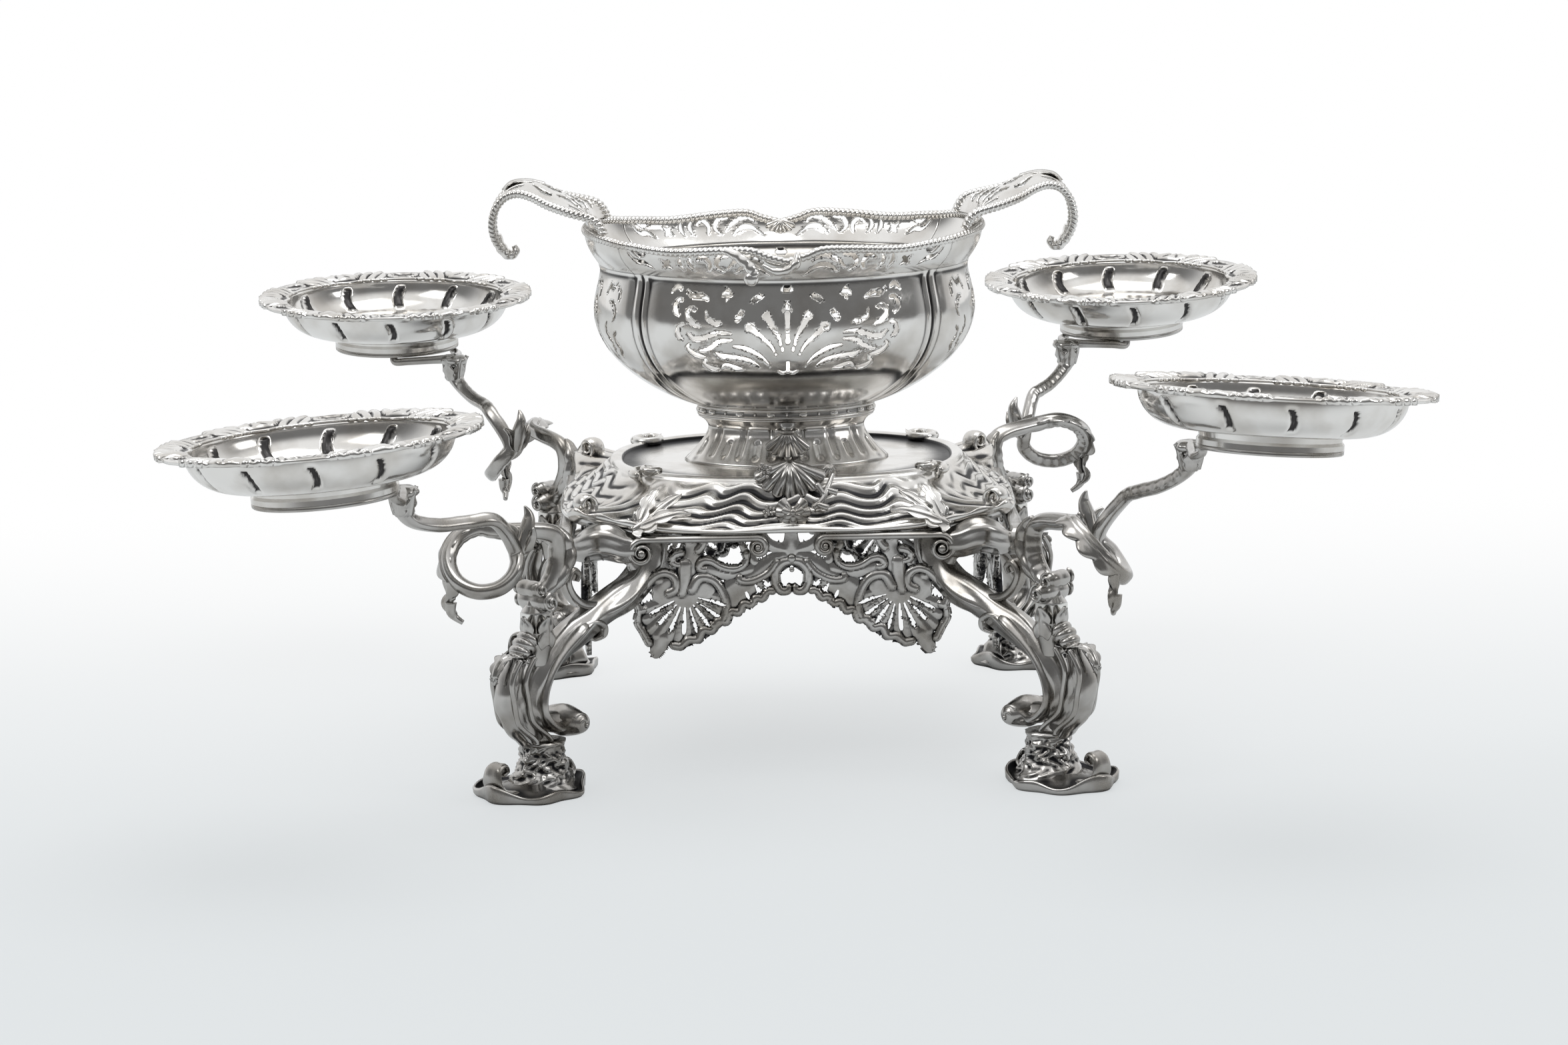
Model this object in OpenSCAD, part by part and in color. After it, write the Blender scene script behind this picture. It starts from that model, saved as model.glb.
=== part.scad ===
// Epergne: a four-legged silver stand with a pierced oval basket in the middle
// and four scrolling branches that each carry a round dish.
// Millimetres, Z up, origin on the table under the middle, front towards -Y.

/* [Feet and legs] */
// Height of a rock foot, up to the seat of its leg
foot_h = 27; // [22:1:34]
// Radius of the wavy base of a foot
foot_r = 27; // [23:1:31]
// Thickness of the wavy base of a foot
foot_base_t = 5; // [3:0.5:7]
// Distance along the diagonal from a leg's top to the middle of its foot
leg_reach = 92; // [84:1:100]
// Half the thickness of a leg, in the plane that it bends in
leg_r = 7.5; // [6:0.25:8.5]
// Half the width of a leg, across the plane that it bends in
leg_half_w = 8; // [6.5:0.25:9]
// Height of the knee's flat, where the branch socket stands
knee_z = 86; // [78:1:94]
// Distance along the diagonal from a leg's top to its branch socket
knee_t = 85; // [81:1:88]
// Distance from the end of the platform to the middle of a leg's top
leg_inset_x = 49; // [45:1:54]
// Distance from the front of the platform to the middle of a leg's top
leg_inset_y = 20; // [19:1:23]

/* [Platform] */
// Height of the platform's lower flange above the table
platform_z = 128; // [120:1:136]
// Width of the platform over its lower lip
platform_w = 248; // [236:1:262]
// Depth of the platform over its lower lip
platform_d = 210; // [200:1:220]
// Height from the lower flange to the flat top
platform_h = 23; // [18:1:30]
// Width of the flat top
plateau_w = 180; // [170:1:190]
// Depth of the flat top
plateau_d = 144; // [136:1:152]
// Width of the flange that the legs and aprons are fixed under
flange_w = 20; // [18:1:24]
// Thickness of the platform's metal
platform_wall = 2.2; // [1.6:0.1:3]

/* [Aprons] */
// Thickness of the cast aprons
apron_t = 4; // [3:0.25:5]
// Radius of a fan shell on an apron
apron_shell_r = 22; // [18:0.5:24]
// Slots in a fan shell
apron_slots = 8; // [5:1:9]
// Height of the hinge of the fan shells
apron_shell_z = 93; // [90:1:97]

/* [Stem and collar] */
// Width of the collar
collar_w = 96; // [90:1:104]
// Depth of the collar
collar_d = 56; // [52:1:62]
// Height of the fluted stem
stem_h = 25; // [20:1:32]
// How far the waist of the stem draws in from the collar's outline
stem_waist = 8; // [5:0.5:9]
// How far the foot of the stem spreads from the collar's outline
stem_flare = 8; // [6:0.5:11]
// Thickness of the stem's wall
stem_wall = 2; // [1.5:0.25:2.5]
// Height of the collar
collar_h = 6; // [5:0.5:8]
// Beads round the collar
collar_beads = 22; // [16:2:26]

/* [Basket] */
// Height of the basket from its seat to its rim
basket_h = 92; // [84:1:100]
// Height of the belly above the seat
belly_z = 53; // [48:1:58]
// How far the belly spreads from the collar's outline
belly_spread = 57; // [52:1:60]
// Height of the neck above the seat
neck_z = 71; // [68:1:75]
// How far the neck spreads from the collar's outline
neck_spread = 50; // [47:1:51]
// How far the rim spreads from the collar's outline
rim_spread = 61; // [57:1:64]
// Thickness of the basket's wall
basket_wall = 1.8; // [1.4:0.1:2.4]
// Radius of the rope on the rim
rim_rope_r = 2.6; // [2:0.1:3.2]
// Depth of the basket's spigot in the collar
spigot_h = 7; // [5:0.5:9]
// How far each handle reaches past the rim
handle_reach = 54; // [46:1:60]
// How far each handle rises over the rim
handle_rise = 30; // [24:1:36]
// Thickness of the handles' metal
handle_t = 2.4; // [2:0.1:3]

/* [Branches] */
// Height of a branch socket
socket_h = 10; // [8:0.5:13]
// Width of a branch socket
socket_w = 12; // [11:0.5:14]
// Width of the square peg under a branch
peg_w = 7; // [6:0.25:8]
// Half the thickness of a branch stem
branch_r = 3.6; // [3:0.1:4]
// Radius of the loop in a branch
loop_r = 16; // [14:0.5:18]
// Height from the foot of a branch to the seat of its fork
branch_h = 80; // [74:1:88]
// Distance from a branch's peg to its fork, along each of its two directions
branch_reach = 63; // [58:1:68]

/* [Dishes] */
// Diameter of a dish over its border
dish_d = 165; // [152:1:172]
// Diameter of the bowl where it meets the border
bowl_d = 136; // [126:1:140]
// Height of a dish from its foot to the top of its border
dish_h = 30; // [26:1:36]
// Outer diameter of the foot ring
ring_d = 74; // [68:1:80]
// Height of the foot ring
ring_h = 7.5; // [6:0.5:9]
// Thickness of the dish's metal
dish_wall = 1.8; // [1.4:0.1:2.4]
// Scallops round the border of a dish
border_scallops = 24; // [18:6:30]
// Depth of the scallops
scallop_depth = 1.6; // [1:0.1:2.2]

/* [Fits] */
// Clearance all round a branch peg in its socket
peg_gap = 0.2; // [0.1:0.05:0.4]
// Clearance all round the basket's spigot in the collar
spigot_gap = 0.3; // [0.2:0.05:0.6]
// Clearance between a dish's foot ring and the lip of its seat
ring_gap = 0.3; // [0.2:0.05:0.6]
// Clearance under the parts that lift off
seat_gap = 0.1; // [0.05:0.05:0.2]

/* [Hidden] */
$fn = 64;

silver = "silver";
bright = "gainsboro";
dark_silver = "darkgray";

// The four corners: name, side of X, side of Y, turn of the leg, turn of the branch
CORNERS = [
    ["front_left", -1, -1, 225, 180],
    ["front_right", 1, -1, 315, 270],
    ["rear_right", 1, 1, 45, 0],
    ["rear_left", -1, 1, 135, 90]
];
// How each branch has settled in use: the lean of its dish in degrees about X
// and about Y, then how far the dish stands from its true place in X, Y and Z
LEANS = [[-1.9, -4.3], [-5, 3.8], [2.5, -0.9], [1.9, -0.2]];
SHIFTS = [[0, -8, -4.5], [3, 0, 10], [-26, -3, 2], [4, 3, -1.5]];
SIDES = [["front", 0], ["right", 90], ["rear", 180], ["left", 270]];
HANDS = [["right", 0], ["left", 180]];

function corner_names(piece) = [for (c = CORNERS) str(piece, "_", c[0])];
function side_names(piece) = [for (s = SIDES) str(piece, "_", s[0])];

// Levels of the stand, from the table up
plateau_z = platform_z + platform_h;
collar_z = plateau_z + stem_h;
basket_z = collar_z + collar_h + seat_gap;
branch_z = knee_z + socket_h + seat_gap;

// Places of the legs
leg_x = platform_w / 2 - leg_inset_x;
leg_y = platform_d / 2 - leg_inset_y;
diagonal = sqrt(0.5);

// The collar's oval is four arcs that meet smoothly: two ends and two sides
// that each take a quarter turn, with their middles on the corners of a square
function rounded(v) = round(100 * v) / 100;
oval_square = rounded((collar_w - collar_d) / 2 / (sqrt(2) - 1));
oval_end_r = rounded(collar_w / 2 - oval_square * diagonal);
oval_side_r = oval_end_r + oval_square;
oval_c = oval_square * diagonal;

// Smooth curve through points

function unit(v) = v / norm(v);
function xyz(p) = [p[0], p[1], p[2]];
function reversed(list) = [for (i = [len(list) - 1:-1:0]) list[i]];

// Place between p1 and p2 at share s, bending with the neighbours p0 and p3
function bend(p0, p1, p2, p3, s) =
    0.5 * (2 * p1 + (p2 - p0) * s + (2 * p0 - 5 * p1 + 4 * p2 - p3) * s * s
    + (3 * p1 - p0 - 3 * p2 + p3) * s * s * s);

// A curve through the points with some steps in each span
function curve(p, steps) =
    let (n = len(p) - 1)
    [for (i = [0:n - 1], k = [0:steps - 1])
        bend(p[max(i - 1, 0)], p[i], p[i + 1], p[min(i + 2, n)], k / steps), p[n]];

// A skin over rings of points, each ring having the same number of sides
module skin(points, rings, sides, closed = false) {
    last = closed ? rings - 1 : rings - 2;
    walls = [for (i = [0:last], k = [0:sides - 1])
        let (a = i * sides, b = ((i + 1) % rings) * sides, n = (k + 1) % sides)
        each [[a + k, a + n, b + n], [a + k, b + n, b + k]]];
    top = (rings - 1) * sides;
    caps = closed ? [] : [for (k = [1:sides - 2])
        each [[0, k + 1, k], [top, top + k, top + k + 1]]];
    polyhedron(points = points, faces = concat(walls, caps));
}

// A tapering bar along a path of [x, y, z, half thickness, half width];
// the width lies along the direction across
module bar(path, across, sides, start = undef, end = undef) {
    n = len(path);
    points = [for (i = [0:n - 1])
        let (
            ahead = unit(xyz(path[min(i + 1, n - 1)]) - xyz(path[max(i - 1, 0)])),
            d = i == 0 && start != undef ? start : i == n - 1 && end != undef ? end : ahead,
            b = unit(across - (across * d) * d),
            c = cross(d, b))
        for (k = [0:sides - 1])
            xyz(path[i]) + path[i][3] * cos(360 * k / sides) * c
                + path[i][4] * sin(360 * k / sides) * b];
    skin(points, n, sides);
}

// Sweeps round the oval

// The child's X is the distance outside the collar's outline, its Y is the height
module oval_sweep() {
    half = oval_square / 2;
    rotate(45) for (turn = [0, 180]) rotate(turn) {
        translate([half, -half])
            rotate_extrude(angle = 90, start = -90)
                translate([oval_end_r, 0]) children();
        translate([-half, -half])
            rotate_extrude(angle = 90)
                translate([oval_side_r, 0]) children();
    }
}

// Point on the oval spread by o, where the outline faces the given angle
function oval_point(o, angle) =
    let (a = (angle + 45) % 180 - 45, flip = (angle + 45) % 360 < 180 ? 1 : -1)
    flip * (a < 45
        ? [oval_c + (oval_end_r + o) * cos(a), (oval_end_r + o) * sin(a)]
        : [(oval_side_r + o) * cos(a), (oval_side_r + o) * sin(a) - oval_c]);

function oval_points(o) = [for (a = [0:5:355]) oval_point(o, a)];

// A line of points moved sideways by w, to its left
function beside(p, w) =
    let (n = len(p) - 1)
    [for (i = [0:n]) let (d = unit(p[min(i + 1, n)] - p[max(i - 1, 0)])) p[i] + w * [-d[1], d[0]]];

// Platform

// Squarish oval of half axes a and b; a larger power gives fuller corners
function lobe_point(a, b, power, angle) =
    [a * sign(cos(angle)) * pow(abs(cos(angle)), 2 / power),
     b * sign(sin(angle)) * pow(abs(sin(angle)), 2 / power)];

lip_power = 3.3;
top_power = 2.3;
crest_h = 2.5;
crest_w = 4;
lip_h = 3;
hole_inset = 4;
platform_sides = 64;

// Rings of the platform from the hole under the stem outwards, then back inside
function platform_ring(a, b, power, z) =
    [for (k = [0:platform_sides - 1])
        let (p = lobe_point(a, b, power, 360 * k / platform_sides)) [p[0], p[1], z]];

module platform() {
    lip_a = platform_w / 2;
    lip_b = platform_d / 2;
    top_a = plateau_w / 2;
    top_b = plateau_d / 2;
    hole_a = collar_w / 2 - hole_inset;
    hole_b = collar_d / 2 - hole_inset;
    crest = 2 * crest_w;
    skirt_a = lip_a - top_a - crest;
    skirt_b = lip_b - top_b - crest;
    skirt_h = platform_h - lip_h;
    wall = platform_wall;
    power_at = function (s) top_power + (lip_power - top_power) * s;
    // Share of the way down the hollow-backed skirt, against the share of the way out
    skirt = [[0, 0], [0.28, 0.42], [0.6, 0.74], [1, 1]];
    outside = concat(
        [platform_ring(hole_a, hole_b, 2, plateau_z),
         platform_ring(top_a, top_b, top_power, plateau_z),
         platform_ring(top_a + crest_w, top_b + crest_w, top_power, plateau_z + crest_h)],
        [for (s = skirt)
            platform_ring(top_a + crest + skirt_a * s[0], top_b + crest + skirt_b * s[0],
                power_at(s[0]), plateau_z - skirt_h * s[1])],
        [platform_ring(lip_a, lip_b, lip_power, platform_z)]);
    inside = concat(
        [platform_ring(lip_a - flange_w, lip_b - flange_w, lip_power, platform_z),
         platform_ring(lip_a - flange_w, lip_b - flange_w, lip_power, platform_z + wall)],
        [for (s = reversed(skirt))
            platform_ring(top_a + crest + skirt_a * s[0] - 2 * wall,
                top_b + crest + skirt_b * s[0] - 2 * wall,
                power_at(s[0]), max(plateau_z - skirt_h * s[1] - wall, platform_z + wall))],
        [platform_ring(hole_a, hole_b, 2, plateau_z - wall)]);
    rings = concat(outside, inside);
    points = [for (r = rings) each r];
    color(silver) skin(points, len(rings), platform_sides, closed = true);
}

// Stem and collar

module stem() {
    steps = 8;
    outer = [for (k = [0:steps])
        let (s = k / steps)
        [stem_flare - (stem_flare + stem_waist) * sin(90 * s) + stem_waist * pow(s, 6), stem_h * s]];
    color(silver) translate([0, 0, plateau_z]) oval_sweep()
        polygon(concat(outer, reversed([for (p = outer) p - [stem_wall, 0]])));
}

bead_r = 1.9;
collar_t = 6;

module collar() {
    color(bright) translate([0, 0, collar_z]) {
        oval_sweep() polygon([
            [0, 0], [0.8, collar_h * 0.2], [0, collar_h * 0.3], [0, collar_h * 0.7],
            [0.8, collar_h * 0.8], [0, collar_h], [-collar_t, collar_h], [-collar_t, 0]]);
        for (k = [0:collar_beads - 1])
            let (p = oval_point(0, 360 * k / collar_beads))
            translate([p[0], p[1], collar_h / 2]) sphere(r = bead_r, $fn = 24);
    }
}

// Shells on the front and the rear of the platform

shell_t = 3;
shell_gap = 0.6;

module shell(turn) {
    stem_y = collar_d / 2 + stem_flare;
    top_y = plateau_d / 2;
    lip_y = platform_d / 2;
    crest_top = plateau_z + crest_h + shell_gap;
    // Side view of the band that lies along the stem, the flat top and the skirt
    line = [
        [stem_y - stem_waist, plateau_z + 21], [stem_y + 1, plateau_z + 6],
        [stem_y + 6, plateau_z], [top_y - 5, plateau_z], [top_y - 0.5, crest_top],
        [top_y + 2 * crest_w + 1, crest_top], [lip_y + 2, plateau_z - platform_h * 0.62]];
    color(silver) rotate(turn) intersection() {
        rotate([90, 0, -90]) linear_extrude(height = 4 * apron_shell_r, center = true)
            polygon(concat(line, reversed(beside(line, shell_t))));
        rotate([90, 0, 0]) linear_extrude(height = platform_d, center = true) {
            translate([0, plateau_z + 14]) circle(r = 9, $fn = 48);
            translate([-3, plateau_z + 4]) square([6, 10]);
            scallop_fan([0, plateau_z + 6], 17, 7);
            translate([0, plateau_z - 11]) circle(r = 7, $fn = 48);
            translate([-2, plateau_z - 8]) square([4, 8]);
        }
    }
}

// Fan of overlapping lobes below a hinge point
module scallop_fan(hinge, r, lobes) {
    lobe_r = r * sin(70 / lobes) * 1.25;
    half = 70 / (lobes - 1) + 1;
    for (k = [0:lobes - 1])
        let (a = 200 + 140 * k / (lobes - 1))
        translate(hinge) {
            polygon([[0, 0], (r - lobe_r) * [cos(a - half), sin(a - half)],
                (r - lobe_r) * [cos(a + half), sin(a + half)]]);
            translate((r - lobe_r) * [cos(a), sin(a)]) circle(r = lobe_r, $fn = 32);
        }
}

// Legs and feet

module at_leg(i) {
    c = CORNERS[i];
    translate([c[1] * leg_x, c[2] * leg_y, 0]) rotate(c[3]) children();
}

// In a leg, X is the distance out along the diagonal
leg_line = [
    [0, platform_z], [0.5, platform_z - 10], [8, knee_z + 18], [24, knee_z + 8],
    [44, knee_z + 1], [62, knee_z - 7], [knee_t - 7, knee_z - 16],
    [leg_reach - 2, knee_z - 27], [leg_reach + 3, knee_z - 40], [leg_reach - 1, foot_h + 13],
    [leg_reach - 11, foot_h + leg_r + 1], [leg_reach - 25, foot_h + leg_r + 1]];
// Half the leg's thickness at each point of its line
leg_thick = [leg_half_w, leg_r, leg_r, leg_r, leg_r, leg_r, leg_r, 6.5, 6, 6, 6, 5];
leg_volute_r = 8;
// The leaf outside the leg, which carries the load down to the rock foot;
// each point ends with half its thickness and half its width
leaf_path = [
    [knee_t + 2, 0, knee_z - 9, 4, 7], [leg_reach + 8, 0, knee_z - 18, 5, 8],
    [leg_reach + 12, 0, knee_z - 31, 5, 9.5], [leg_reach + 9, 0, foot_h + 18, 6, 9.5],
    [leg_reach, 0, foot_h + 9, 6.5, 9], [leg_reach - 3, 0, foot_h + 5, 7, 8.5],
    [leg_reach - 3, 0, foot_h, 8, 8]];
// The trumpet end that curls in under the arch of the leg
spur_path = [
    [knee_t - 9, 0, knee_z - 18, 4, 6], [knee_t - 22, 0, knee_z - 14, 5, 7.5],
    [knee_t - 38, 0, knee_z - 11, 4, 7]];
knee_post_h = 16;
knee_post_share = 0.75;
// The rock column of a foot stands towards the middle of the stand
rock_inset = 9;

module leg(i) {
    across = [0, 1, 0];
    last = len(leg_line) - 1;
    leg_path = [for (k = [0:last])
        [leg_line[k][0], 0, leg_line[k][1], leg_thick[k], leg_half_w]];
    color(dark_silver) at_leg(i) {
        bar(curve(leg_path, 3), across, 10, start = [0, 0, -1]);
        bar(curve(leaf_path, 3), across, 8, end = [0, 0, -1]);
        bar(curve(spur_path, 3), across, 8);
        translate([leg_line[last][0], 0, leg_line[last][1]]) rotate([90, 0, 0])
            cylinder(r = leg_volute_r, h = 2.5 * leg_half_w, center = true);
        translate([knee_t, 0, knee_z - knee_post_h])
            cylinder(r = socket_w * knee_post_share, h = knee_post_h);
    }
}

module foot(i) {
    waves = 7;
    outline = [for (a = [0:6:354])
        let (r = foot_r * (1 - 0.12 * pow(sin(a), 2)) + 1.8 * sin(waves * a))
        r * [cos(a), sin(a)]];
    color(dark_silver) at_leg(i) translate([leg_reach, 0, 0]) {
        linear_extrude(height = foot_base_t) polygon(outline);
        translate([-rock_inset, 0, 0]) rotate_extrude() polygon([
            [0, foot_base_t - 1], [foot_r * 0.72, foot_base_t - 1], [foot_r * 0.58, foot_h * 0.45],
            [13.5, foot_h * 0.7], [12.5, foot_h], [0, foot_h]]);
        translate([foot_r * 0.82, 0, foot_base_t + 4]) rotate([90, 0, 0])
            cylinder(r = 5.5, h = 16, center = true);
    }
}

module socket(i) {
    hole = peg_w + 2 * peg_gap;
    color(silver) at_leg(i) translate([knee_t, 0, knee_z]) difference() {
        translate([-socket_w / 2, -socket_w / 2, 0]) cube([socket_w, socket_w, socket_h]);
        translate([-hole / 2, -hole / 2, 2]) cube([hole, hole, socket_h]);
    }
}

// Aprons

// Half of an apron's outline, in its own plane; X from the middle, Y is the height
module apron_half(shell_x, top) {
    hub_z = top - 16;
    arm = 7;
    slot_w = 1.4;
    wing = concat(
        curve([[6, hub_z + 7], [13, hub_z + 2], [22, hub_z + 4]], 3),
        curve([[22, hub_z + 4], [26, hub_z - 4], [33, hub_z - 6], [41, hub_z - 2],
            [shell_x - 8, hub_z]], 3));
    tip = [shell_x + 12, apron_shell_z - apron_shell_r - 12];
    low = concat(
        curve([[8, hub_z - 16], [18, hub_z - 20], [28, hub_z - 24], [35, hub_z - 25],
            [shell_x - 14, hub_z - 33], [shell_x - 2, hub_z - 46]], 3),
        [tip + [-2, 0], tip + [2, 0], tip + [8, 24]]);
    stalk = curve([[shell_x + 2, apron_shell_z], [shell_x - 3, apron_shell_z + 16],
        [shell_x - 4, top + 2]], 4);
    intersection() {
        square([2 * shell_x, top]);
        difference() {
            union() {
                polygon([[0, top], [4, top], [4, top - 6], [9, hub_z + 3], [9, hub_z - 12], [0, hub_z - 12]]);
                polygon(concat(wing, reversed(low)));
                translate([22, hub_z + 2.5]) circle(r = 2.5);
                translate([9, hub_z - 16]) circle(r = 3.5);
                scallop_fan([shell_x, apron_shell_z], apron_shell_r + 4, 7);
                for (side = [-1, 1])
                    translate([shell_x + side * 9, apron_shell_z + 1]) circle(r = 6.5);
                translate([shell_x, apron_shell_z]) circle(r = 10);
                polygon(concat(beside(stalk, arm / 2), reversed(beside(stalk, -arm / 2))));
                translate([shell_x - 7, hub_z - 3]) circle(r = 5);
            }
            translate([0, hub_z - 16]) circle(r = 6.5);
            for (k = [0:apron_slots - 1])
                let (a = 205 + 130 * k / (apron_slots - 1))
                translate([shell_x, apron_shell_z]) rotate(a)
                    polygon([[10, -0.4], [apron_shell_r - 4, -slot_w], [apron_shell_r - 2, 0],
                        [apron_shell_r - 4, slot_w], [10, 0.4]]);
            for (k = [0:2])
                translate([16 + 6 * k, hub_z - 14.5 - 2 * k]) rotate(60)
                    polygon([[-4, 0], [0, -slot_w], [4, 0], [0, slot_w]]);
        }
    }
}

module apron(k) {
    turn = SIDES[k][1];
    along_x = turn % 180 == 0;
    reach = along_x ? platform_d / 2 : platform_w / 2;
    shell_x = (along_x ? leg_x : leg_y) - 19;
    plane = reach - flange_w / 2 - apron_t / 2 + (along_x ? 1 : -4);
    color(dark_silver) rotate(turn) translate([0, -plane, 0]) rotate([90, 0, 0])
        linear_extrude(height = apron_t) {
            apron_half(shell_x, platform_z);
            mirror([1, 0]) apron_half(shell_x, platform_z);
        }
}

// Scrolls along the lower edge of the platform

edge_scroll_t = 5;
edge_scroll_bar = 4;
middle_volute_r = 6.5;
corner_volute_r = 8;
middle_volute_x = 18;

module edge_scroll(k) {
    turn = SIDES[k][1];
    along_x = turn % 180 == 0;
    plane = (along_x ? platform_d : platform_w) / 2 - edge_scroll_t - 1.5;
    corner_x = (along_x ? leg_x : leg_y) + 5;
    color(silver) rotate(turn) translate([0, -plane, platform_z]) rotate([90, 0, 0])
        linear_extrude(height = edge_scroll_t)
            for (side = [0, 1]) mirror([side, 0]) {
                translate([middle_volute_x, -edge_scroll_bar])
                    square([corner_x - middle_volute_x, edge_scroll_bar]);
                translate([middle_volute_x, -middle_volute_r]) circle(r = middle_volute_r);
                translate([corner_x, -corner_volute_r]) circle(r = corner_volute_r);
            }
}

// Basket

swell = 1.6;

// The wall of the basket from its seat to its rim: [spread, height]
function basket_line() = concat(
    [for (s = [0:10:90]) [belly_spread * pow(sin(s), swell), belly_z * (1 - cos(s))]],
    [for (k = [1:4]) let (s = k / 4)
        [neck_spread + (belly_spread - neck_spread) * (1 + cos(180 * s)) / 2,
         belly_z + (neck_z - belly_z) * s]],
    [for (k = [1:4]) let (s = k / 4)
        [neck_spread + (rim_spread - neck_spread) * sin(90 * s), neck_z + (basket_h - neck_z) * s]]);

// Width of the flange at the bottom of the wall, and how deep the floor plate is let into it
basket_flange_w = 9;
floor_let_in = 4;
floor_t = 1;

module basket_body() {
    line = basket_line();
    inside = [for (p = beside(line, basket_wall)) if (p[1] < basket_h - 1) p];
    color(bright) translate([0, 0, basket_z]) {
        oval_sweep() polygon(concat(
            [[-basket_flange_w, 0]], line, [[rim_spread - basket_wall, basket_h]],
            reversed(inside), [[-basket_flange_w, inside[0][1]]]));
        translate([0, 0, basket_wall / 4]) linear_extrude(height = floor_t)
            polygon(oval_points(floor_let_in - basket_flange_w));
    }
}

rim_h = 1.6 * rim_rope_r;

// The rope is flat below, where it sits on the wall, and above, where the handles rise
module basket_rim() {
    color(bright) translate([0, 0, basket_z]) oval_sweep()
        translate([rim_spread - basket_wall / 2, basket_h]) intersection() {
            translate([0, rim_h / 2]) circle(r = rim_rope_r, $fn = 32);
            translate([-rim_rope_r, 0]) square([2 * rim_rope_r, rim_h]);
        }
}

module basket_foot() {
    outer = -collar_t - spigot_gap;
    color(bright) translate([0, 0, basket_z]) oval_sweep()
        translate([outer - 3, -spigot_h]) square([3, spigot_h]);
}

handle_root_w = 52;
handle_root_h = 9;

module handle(k) {
    rim_x = collar_w / 2 + rim_spread - basket_wall / 2;
    rim_top = basket_h + rim_h;
    root = rim_spread - basket_wall / 2;
    line = curve([[rim_x + 1, rim_top + 4], [rim_x + 8, rim_top + handle_rise * 0.5],
        [rim_x + handle_reach * 0.42, rim_top + handle_rise],
        [rim_x + handle_reach * 0.78, rim_top + handle_rise * 0.9],
        [rim_x + handle_reach, rim_top + handle_rise * 0.4],
        [rim_x + handle_reach * 0.94, rim_top - handle_rise * 0.15]], 5);
    plan = curve([[rim_x - 8, handle_root_w / 2], [rim_x + 6, handle_root_w * 0.38],
        [rim_x + handle_reach * 0.4, 12], [rim_x + handle_reach + handle_t, 8]], 4);
    color(bright) rotate(HANDS[k][1]) translate([0, 0, basket_z]) {
        intersection() {
            rotate([90, 0, 0]) linear_extrude(height = 2 * handle_root_w, center = true)
                polygon(concat(beside(line, handle_t / 2), reversed(beside(line, -handle_t / 2))));
            linear_extrude(height = 2 * (basket_h + handle_rise))
                polygon(concat(plan, reversed([for (p = plan) [p[0], -p[1]]])));
        }
        intersection() {
            oval_sweep() polygon([[root - handle_t / 2, rim_top], [root + handle_t / 2, rim_top],
                [root + handle_t / 2 + 4, rim_top + handle_root_h], [root - handle_t / 2 + 4, rim_top + handle_root_h]]);
            translate([0, -handle_root_w / 2, 0]) cube([2 * rim_x, handle_root_w, 2 * basket_h]);
        }
    }
}

// Branches

module at_branch(i) {
    c = CORNERS[i];
    t = knee_t * diagonal;
    translate([c[1] * (leg_x + t), c[2] * (leg_y + t), branch_z]) rotate(c[4]) children();
}

loop_lean = 38;
loop_pitch = 10;
loop_middle = [26, 25, 33];

// How far a branch's end has settled, seen along the branch's own directions
function settled(i) =
    let (turn = CORNERS[i][4], s = SHIFTS[i])
    [s[0] * cos(turn) + s[1] * sin(turn), s[1] * cos(turn) - s[0] * sin(turn), s[2]];

// Point on the loop at an angle, which drifts sideways as the stem goes round
function loop_point(angle) =
    loop_middle + loop_r * cos(angle) * [1, 0, 0]
    + loop_r * sin(angle) * [0, -sin(loop_lean), cos(loop_lean)]
    + [0, loop_pitch * (90 - angle) / 360 - loop_pitch / 2, 0];

// The stem's middle line, from its foot, round the loop and out to its fork
function branch_line(i) =
    let (end = branch_reach, shift = settled(i))
    concat(
        [[0, 0, 0], [0, 0, 6], [-8, -6, 16], [-11, -9, 28], [-8, -6, 41]],
        [for (a = [120:-40:-200]) loop_point(a)],
        [[18, 36, 56] + 0.15 * shift, [32, 42, 59] + 0.5 * shift, [46, 50, 61] + 0.8 * shift,
         [end - 5, end - 5, branch_h - 14] + shift, [end, end, branch_h - 7] + shift,
         [end, end, branch_h] + shift]);

module branch(i) {
    line = branch_line(i);
    n = len(line);
    path = [for (k = [0:n - 1])
        let (s = k / (n - 1), r = branch_r * (1.25 - 0.35 * s))
        [line[k][0], line[k][1], line[k][2], k == n - 1 ? branch_r * 1.6 : r, k == n - 1 ? branch_r * 1.6 : r]];
    color(dark_silver) at_branch(i) {
        bar(curve(path, 3), unit([0.45, -0.75, 0.5]), 8, start = [0, 0, 1], end = [0, 0, 1]);
        rotate(45) translate([-peg_w / 2, -peg_w / 2, -socket_h + 2.5])
            cube([peg_w, peg_w, socket_h + 1]);
        cylinder(r1 = 8, r2 = 5, h = 6);
    }
}

// Forks that carry the dishes

fork_reach = 36;
seat_t = 2.4;
prong_r = 2.4;
seat_rise = 8;
lip_t = 4;
seat_lip_h = 3;

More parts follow.
